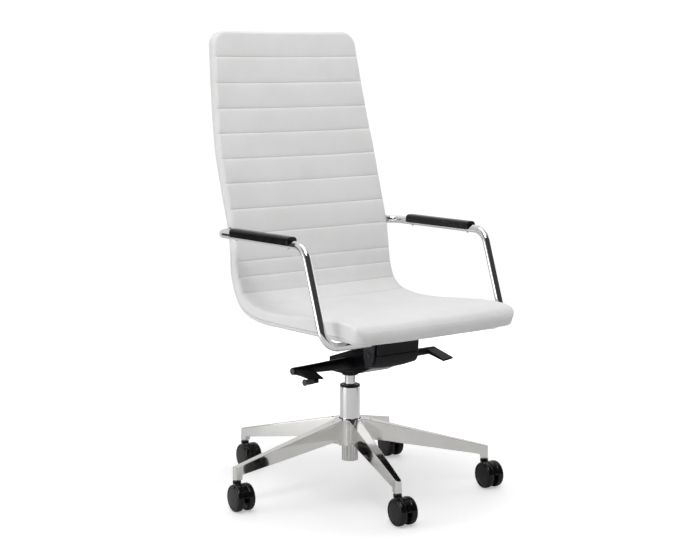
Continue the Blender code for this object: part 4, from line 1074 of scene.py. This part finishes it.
def carrier():
    """Pressed plate under the seat with flanges, beads and tapered ears; bolts and pin."""
    bm = bmesh.new()
    outline = [(-PLATE_HALF, -0.188), (PLATE_HALF, -0.188), (PLATE_HALF, 0.060),
               (PLATE_HALF - 0.03, 0.090), (-PLATE_HALF + 0.03, 0.090), (-PLATE_HALF, 0.060)]
    rounded_prism(bm, outline, PLATE_LOW_Z, PLATE_TOP_Z, 0.0010, "Z")
    for side in (-1, 1):
        flange = [(-0.188, PLATE_LOW_Z + 0.001), (-0.188, 0.4160), (-0.182, 0.4118),
                  (0.050, 0.4118), (0.060, 0.4180), (0.060, PLATE_LOW_Z + 0.001)]
        ends = sorted((side * PLATE_HALF, side * (PLATE_HALF - 0.003)))
        rounded_prism(bm, flange, *ends, 0.0009)
        ear = [(PIVOT_Y + EAR_HALF, PLATE_LOW_Z + 0.001),
               (PIVOT_Y - EAR_HALF, PLATE_LOW_Z + 0.001)]
        ear += arc(PIVOT_Y, PIVOT_Z - EAR_TIP_DROP, EAR_TIP_R, 190, 350, 28)
        ends = sorted((side * 0.0660, side * 0.0720))
        rounded_prism(bm, ear, *ends, 0.0012)
        turn = along_x(PIVOT_Y, PIVOT_Z) @ Matrix.Rotation((1 - side) * math.pi / 2, 4, "X")
        lathe(bm, [(0.0064, 0.0700), (0.0105, 0.0700), (0.0105, 0.0728), (0.0098, 0.0734),
                   (0.0064, 0.0734)], 48, turn)
        bead = [Vector((side * BEAD_X, y, PLATE_LOW_Z - drop))
                for y, drop in ((-0.170, 0.0), (-0.166, 0.0012), (0.050, 0.0012), (0.054, 0.0))]
        tube(bm, bead, [0.0015, 0.0036, 0.0036, 0.0015], 20)
    piece("seat_bracket", bm, GREY_COAT, "seat", ("seat_carrier",), 30)

    bolts = bmesh.new()
    for x, y in BOLT_SPOTS:
        place = Matrix.Translation((x, y, 0.0))
        lathe(bolts, [(0.0, 0.4300), (0.0030, 0.4300), (0.0030, 0.4278), (0.0034, 0.4273),
                      (0.0046, 0.4270), (0.0057, 0.4276), (0.0062, 0.4290), (0.0062, 0.4312),
                      (0.0088, 0.4312), (0.0088, 0.4318), (0.0, 0.4318)], 36, place)
    piece("bracket_bolts", bolts, STEEL, "seat",
          tuple("carrier_bolt_" + str(i) for i in (1, 2, 3, 4)), 30)
    turned("pivot_pin", [
        (0.0, -0.0730), (0.0050, -0.0730), (0.0060, -0.0720), (0.0060, 0.0720),
        (0.0050, 0.0730), (0.0022, 0.0730), (0.0018, 0.0722), (0.0, 0.0722)],
        40, BLACK_STEEL, BODY_OF["tilt_pin"], "tilt_pin", along_x(PIVOT_Y, PIVOT_Z))


def blade(bm, edges, thick_root, thick_tip):
    """Wedge-shaped handle; edges are its left and right (x, y, z) root and tip points."""
    part = bmesh.new()
    rings = []
    for t in (0.0, 0.12, 0.5, 1.0):
        thick = thick_root + (thick_tip - thick_root) * min(1.0, t * 1.15)
        left = Vector(edges[0][0]).lerp(Vector(edges[0][1]), t)
        right = Vector(edges[1][0]).lerp(Vector(edges[1][1]), t)
        down = Vector((0.0, 0.0, -thick))
        rings.append([left, right, right + down, left + down])
    loft(part, rings)
    bmesh.ops.recalc_face_normals(part, faces=part.faces[:])
    soften(part, 0.0013, 3, 35)
    absorb(bm, part)


def levers():
    """Height lever with its cap and knob on one side, tilt lock lever on the other."""
    axis = along_x(LEVER_Y, LEVER_Z)
    knob_axis = along_x(KNOB_Y, KNOB_Z)
    bm = bmesh.new()
    lathe(bm, [(0.0, -0.2225), (0.0086, -0.2225), (0.0092, -0.2219), (0.0098, -0.1900),
               (0.0112, -0.1500), (0.0138, -0.0900), (0.0146, -0.0640), (0.0146, -0.0520),
               (0.0138, -0.0490), (0.0060, -0.0488), (0.0060, -0.0150), (0.0, -0.0150)], 64,
          axis)
    blade(bm, (((-0.2200, -0.0600, 0.3410), (-0.2195, -0.1180, 0.3245)),
               ((-0.1730, -0.0560, 0.3415), (-0.1745, -0.1195, 0.3200))), 0.0160, 0.0030)
    lathe(bm, [(0.0, -0.2040), (0.0052, -0.2040), (0.0058, -0.2034), (0.0058, -0.1920),
               (0.0050, -0.1912), (0.0, -0.1912)], 32, knob_axis)
    piece("height_paddle", bm, LEVER_PLASTIC, "height_paddle",
          ("height_lever",), 30)
    turned("end_cap", [
        (0.0, -0.2262), (0.0070, -0.2262), (0.0080, -0.2258), (0.0086, -0.2250),
        (0.0086, -0.2236), (0.0080, -0.2230), (0.0078, -0.2224), (0.0, -0.2224)],
        56, MATT_GREY, "height_paddle", "lever_cap", axis)

    knob = bmesh.new()
    lathe(knob, [(0.0, -0.2314), (0.0050, -0.2314), (0.0056, -0.2318), (0.0072, -0.2318),
                 (0.0080, -0.2312), (0.0083, -0.2302), (0.0081, -0.2288), (0.0072, -0.2280),
                 (0.0062, -0.2276), (0.0062, -0.2052), (0.0058, -0.2046), (0.0, -0.2046)], 56,
          knob_axis)
    grip = [(0.0056, -0.0005), (0.0066, -0.0005), (0.0066, 0.0005), (0.0056, 0.0005)]
    for angle in around(GRIP_COUNT):
        turn = knob_axis @ Matrix.Rotation(angle, 4, "Z")
        rounded_prism(knob, grip, -0.2268, -0.2060, 0.0002, "Z", turn, 3)
    piece("tension_wheel", knob, MATT_GREY, "knob", ("tension_knob",), 30)

    bm = bmesh.new()
    lathe(bm, [(0.0, 0.0150), (0.0060, 0.0150), (0.0060, 0.0488), (0.0100, 0.0490),
               (0.0106, 0.0500), (0.0104, 0.0900), (0.0098, 0.1500), (0.0094, 0.2000),
               (0.0088, 0.2290), (0.0080, 0.2300), (0.0, 0.2300)], 56, axis)
    blade(bm, (((0.1985, -0.0560, 0.3425), (0.2040, -0.1235, 0.3190)),
               ((0.2320, -0.0560, 0.3420), (0.2410, -0.1200, 0.3215))), 0.0130, 0.0045)
    piece("lock_paddle", bm, LEVER_PLASTIC, "lock_paddle",
          ("tilt_lock_lever",), 30)


PAD_FRONT_Y = -0.139
PAD_REAR_Y = 0.103
PAD_FRONT_R = 0.0030
PAD_REAR_R = 0.0075
PAD_STEPS = 8


def pad_ring(x, y, shrink):
    """Section of an arm pad round the tube; shrink pulls the outside in at the ends."""
    half = 0.0150 - shrink
    top = ARM_Z + 0.0178 - shrink
    corner = 0.0098 - shrink * 0.5
    low = ARM_Z - 0.0022 + shrink * 0.4
    points = [(x + half - 0.0008, low - 0.0003), (x + half, low + 0.0008)]
    points += arc(x + half - corner, top - corner, corner, 0, 90, 10)
    points += arc(x - half + corner, top - corner, corner, 90, 180, 10)
    points += [(x - half, low + 0.0008), (x - half + 0.0008, low - 0.0003)]
    channel = ARM_TUBE_R + 0.0003
    start = math.degrees(math.asin((low - ARM_Z) / channel))
    points += arc(x, ARM_Z, channel, 180 - start, start, 20)
    return [Vector((u, y, v)) for u, v in points]


def arm_pad(x, label):
    """Moulded pad clipped over the tube, with rounded ends."""
    middle = np.linspace(PAD_FRONT_Y + PAD_FRONT_R, PAD_REAR_Y - PAD_REAR_R, 14)[1:-1]
    sections = [(y, 0.0) for y in middle]
    for i in range(PAD_STEPS + 1):
        t = math.pi / 2 * i / PAD_STEPS
        for end, radius in ((PAD_FRONT_Y, PAD_FRONT_R), (PAD_REAR_Y, -PAD_REAR_R)):
            sections.append((end + radius * (1 - math.sin(t)), abs(radius) * (1 - math.cos(t))))
    bm = bmesh.new()
    loft(bm, [pad_ring(x, y, shrink) for y, shrink in sorted(sections)])
    piece("pad_" + label, bm, PAD_PLASTIC, "seat", ("arm_pad_" + label,), 40)


# ---------------------------------------------------------------- studio

LIGHTS = (                     # name, azimuth, elevation, distance, width, height, power
    ("top_light", -10.0, 80.0, 3.2, 3.0, 3.0, 50.0),
    ("left_light", -105.0, -8.0, 1.5, 1.0, 0.6, 4.6),
    ("front_light", -38.0, 52.0, 4.0, 1.6, 1.4, 46.0),
    ("right_light", 80.0, 8.0, 3.8, 1.0, 2.2, 10.0),
    ("rear_light", 150.0, 45.0, 3.6, 1.8, 1.8, 3.0),
)
LIGHT_TARGET = Vector((0.0, 0.0, 0.55))
ROOM_STRENGTH = 0.75
BACKDROP_STRENGTH = 1.05
DARK_SIDE = (-0.22, -0.89, 0.40)             # towards the dark part of the room
ROOM_GREYS = ((0.0, 1.0), (0.05, 1.0), (0.34, 0.42), (0.62, 0.07))
FLOOR_R = 2.4

FLAG_AZIMUTHS = (-134.0, 58.0)
FLAG_DISTANCE = 1.2
FLAG_HALF_WIDTH = 0.17
FLAG_HALF_T = 0.004
FLAG_HEIGHT = 1.5

CAMERA_AT = (-2.415, -3.034, 1.081)          # from the column's foot
CAMERA_YAW = 38.52
CAMERA_PITCH = 8.12
LENS_MM = 80.69


def grey(level):
    return (level, level, level)


def area_light(name, azimuth, elevation, distance, width, height, power):
    """Softbox at an azimuth from -Y towards +X, facing the chair."""
    data = bpy.data.lights.new(name, "AREA")
    data.shape = "RECTANGLE"
    data.size = width
    data.size_y = height
    data.energy = power
    result = add_object(name, data)
    a, e = math.radians(azimuth), math.radians(elevation)
    out = Vector((math.sin(a) * math.cos(e), -math.cos(a) * math.cos(e), math.sin(e)))
    result.location = LIGHT_TARGET + out * distance
    result.rotation_euler = (-out).to_track_quat("-Z", "Y").to_euler()
    result.visible_camera = False


def flags():
    """Two dark cards beside the chair that only glossy surfaces mirror."""
    n = new_material("black_card")
    weave = n.texture("ShaderNodeTexNoise", Scale=300.0, Detail=2.0)
    n.into("Base Color", n.ramp(weave.outputs["Fac"], ((0.4, grey(0.045)), (0.6, grey(0.055)))))
    n.set(Roughness=0.9)
    w, t = FLAG_HALF_WIDTH, FLAG_HALF_T
    for number, azimuth in enumerate(FLAG_AZIMUTHS, 1):
        a = math.radians(azimuth)
        turn = (Matrix.Translation((math.sin(a) * FLAG_DISTANCE, -math.cos(a) * FLAG_DISTANCE,
                                    0.002)) @ Matrix.Rotation(a, 4, "Z"))
        bm = bmesh.new()
        loft(bm, [[turn @ Vector((x, y, z)) for x, y in ((-w, -t), (w, -t), (w, t), (-w, t))]
                  for z in (0.0, FLAG_HEIGHT)])
        card = add_object("flag_" + str(number), mesh_of("flag", bm, n.owner))
        card.visible_camera = False
        card.visible_diffuse = False
        card.visible_shadow = False


def room():
    """White backdrop for the camera; for all else a pale room, dark on one side."""
    n = Nodes(bpy.data.worlds.new("studio"), "Background")
    around = n.coords.outputs["Generated"]
    facing = n.add("ShaderNodeVectorMath", operation="DOT_PRODUCT")
    facing.inputs[1].default_value = DARK_SIDE
    n.link(around, facing.inputs[0])
    split = n.add("ShaderNodeSeparateXYZ")
    n.link(around, split.inputs[0])
    skirting = n.spread(split.outputs["Z"], 0.0, 1.0, 0.02, 0.16)
    shade = n.product(facing.outputs["Value"], skirting)
    n.into("Color", n.ramp(shade, [(position, grey(level)) for position, level in ROOM_GREYS]))
    n.set(Strength=ROOM_STRENGTH)
    white = n.add("ShaderNodeBackground", Color=(*WHITE, 1.0), Strength=BACKDROP_STRENGTH)
    path = n.add("ShaderNodeLightPath")
    mix = n.add("ShaderNodeMixShader")
    n.link(path.outputs["Is Camera Ray"], mix.inputs["Fac"])
    n.link(n.shader.outputs["Background"], mix.inputs[1])
    n.link(white.outputs["Background"], mix.inputs[2])
    n.link(mix.outputs["Shader"], n.tree.nodes["World Output"].inputs["Surface"])
    bpy.context.scene.world = n.owner


def floor():
    """Round pale floor that glows for the camera, less so near the chair."""
    n = new_material("studio_floor")
    grain = n.texture("ShaderNodeTexNoise", Scale=1.5, Detail=2.0)
    n.into("Base Color", n.ramp(grain.outputs["Fac"], ((0.3, grey(0.68)), (0.7, grey(0.71)))))
    reach = n.add("ShaderNodeVectorMath", operation="LENGTH")
    n.link(n.coords.outputs["Object"], reach.inputs[0])
    glow = n.spread(reach.outputs["Value"], 0.42, 1.0, 0.35, 1.40)
    seen = n.add("ShaderNodeLightPath")
    n.into("Emission Strength", n.product(glow, seen.outputs["Is Camera Ray"]))
    n.set(Roughness=0.6, Emission_Color=(*WHITE, 1.0))
    bm = bmesh.new()
    bmesh.ops.create_circle(bm, cap_ends=True, radius=FLOOR_R, segments=96)
    add_object("floor", mesh_of("floor", bm, n.owner))


def camera():
    """The photo's angle and lens."""
    data = bpy.data.cameras.new("camera")
    data.lens = LENS_MM
    data.sensor_width = 36.0
    result = add_object("camera", data)
    result.location = Vector(CAMERA_AT) + COLUMN
    result.rotation_euler = (math.radians(90.0 - CAMERA_PITCH), 0.0, math.radians(-CAMERA_YAW))
    bpy.context.scene.camera = result
    bpy.context.scene.view_settings.view_transform = "Standard"


dress_frame()
front_panel()
rear_panel()
star_base()
castors()
gas_column()
armrests()
housing()
pivot_block()
carrier()
levers()
room()
floor()
flags()
for light in LIGHTS:
    area_light(*light)
camera()
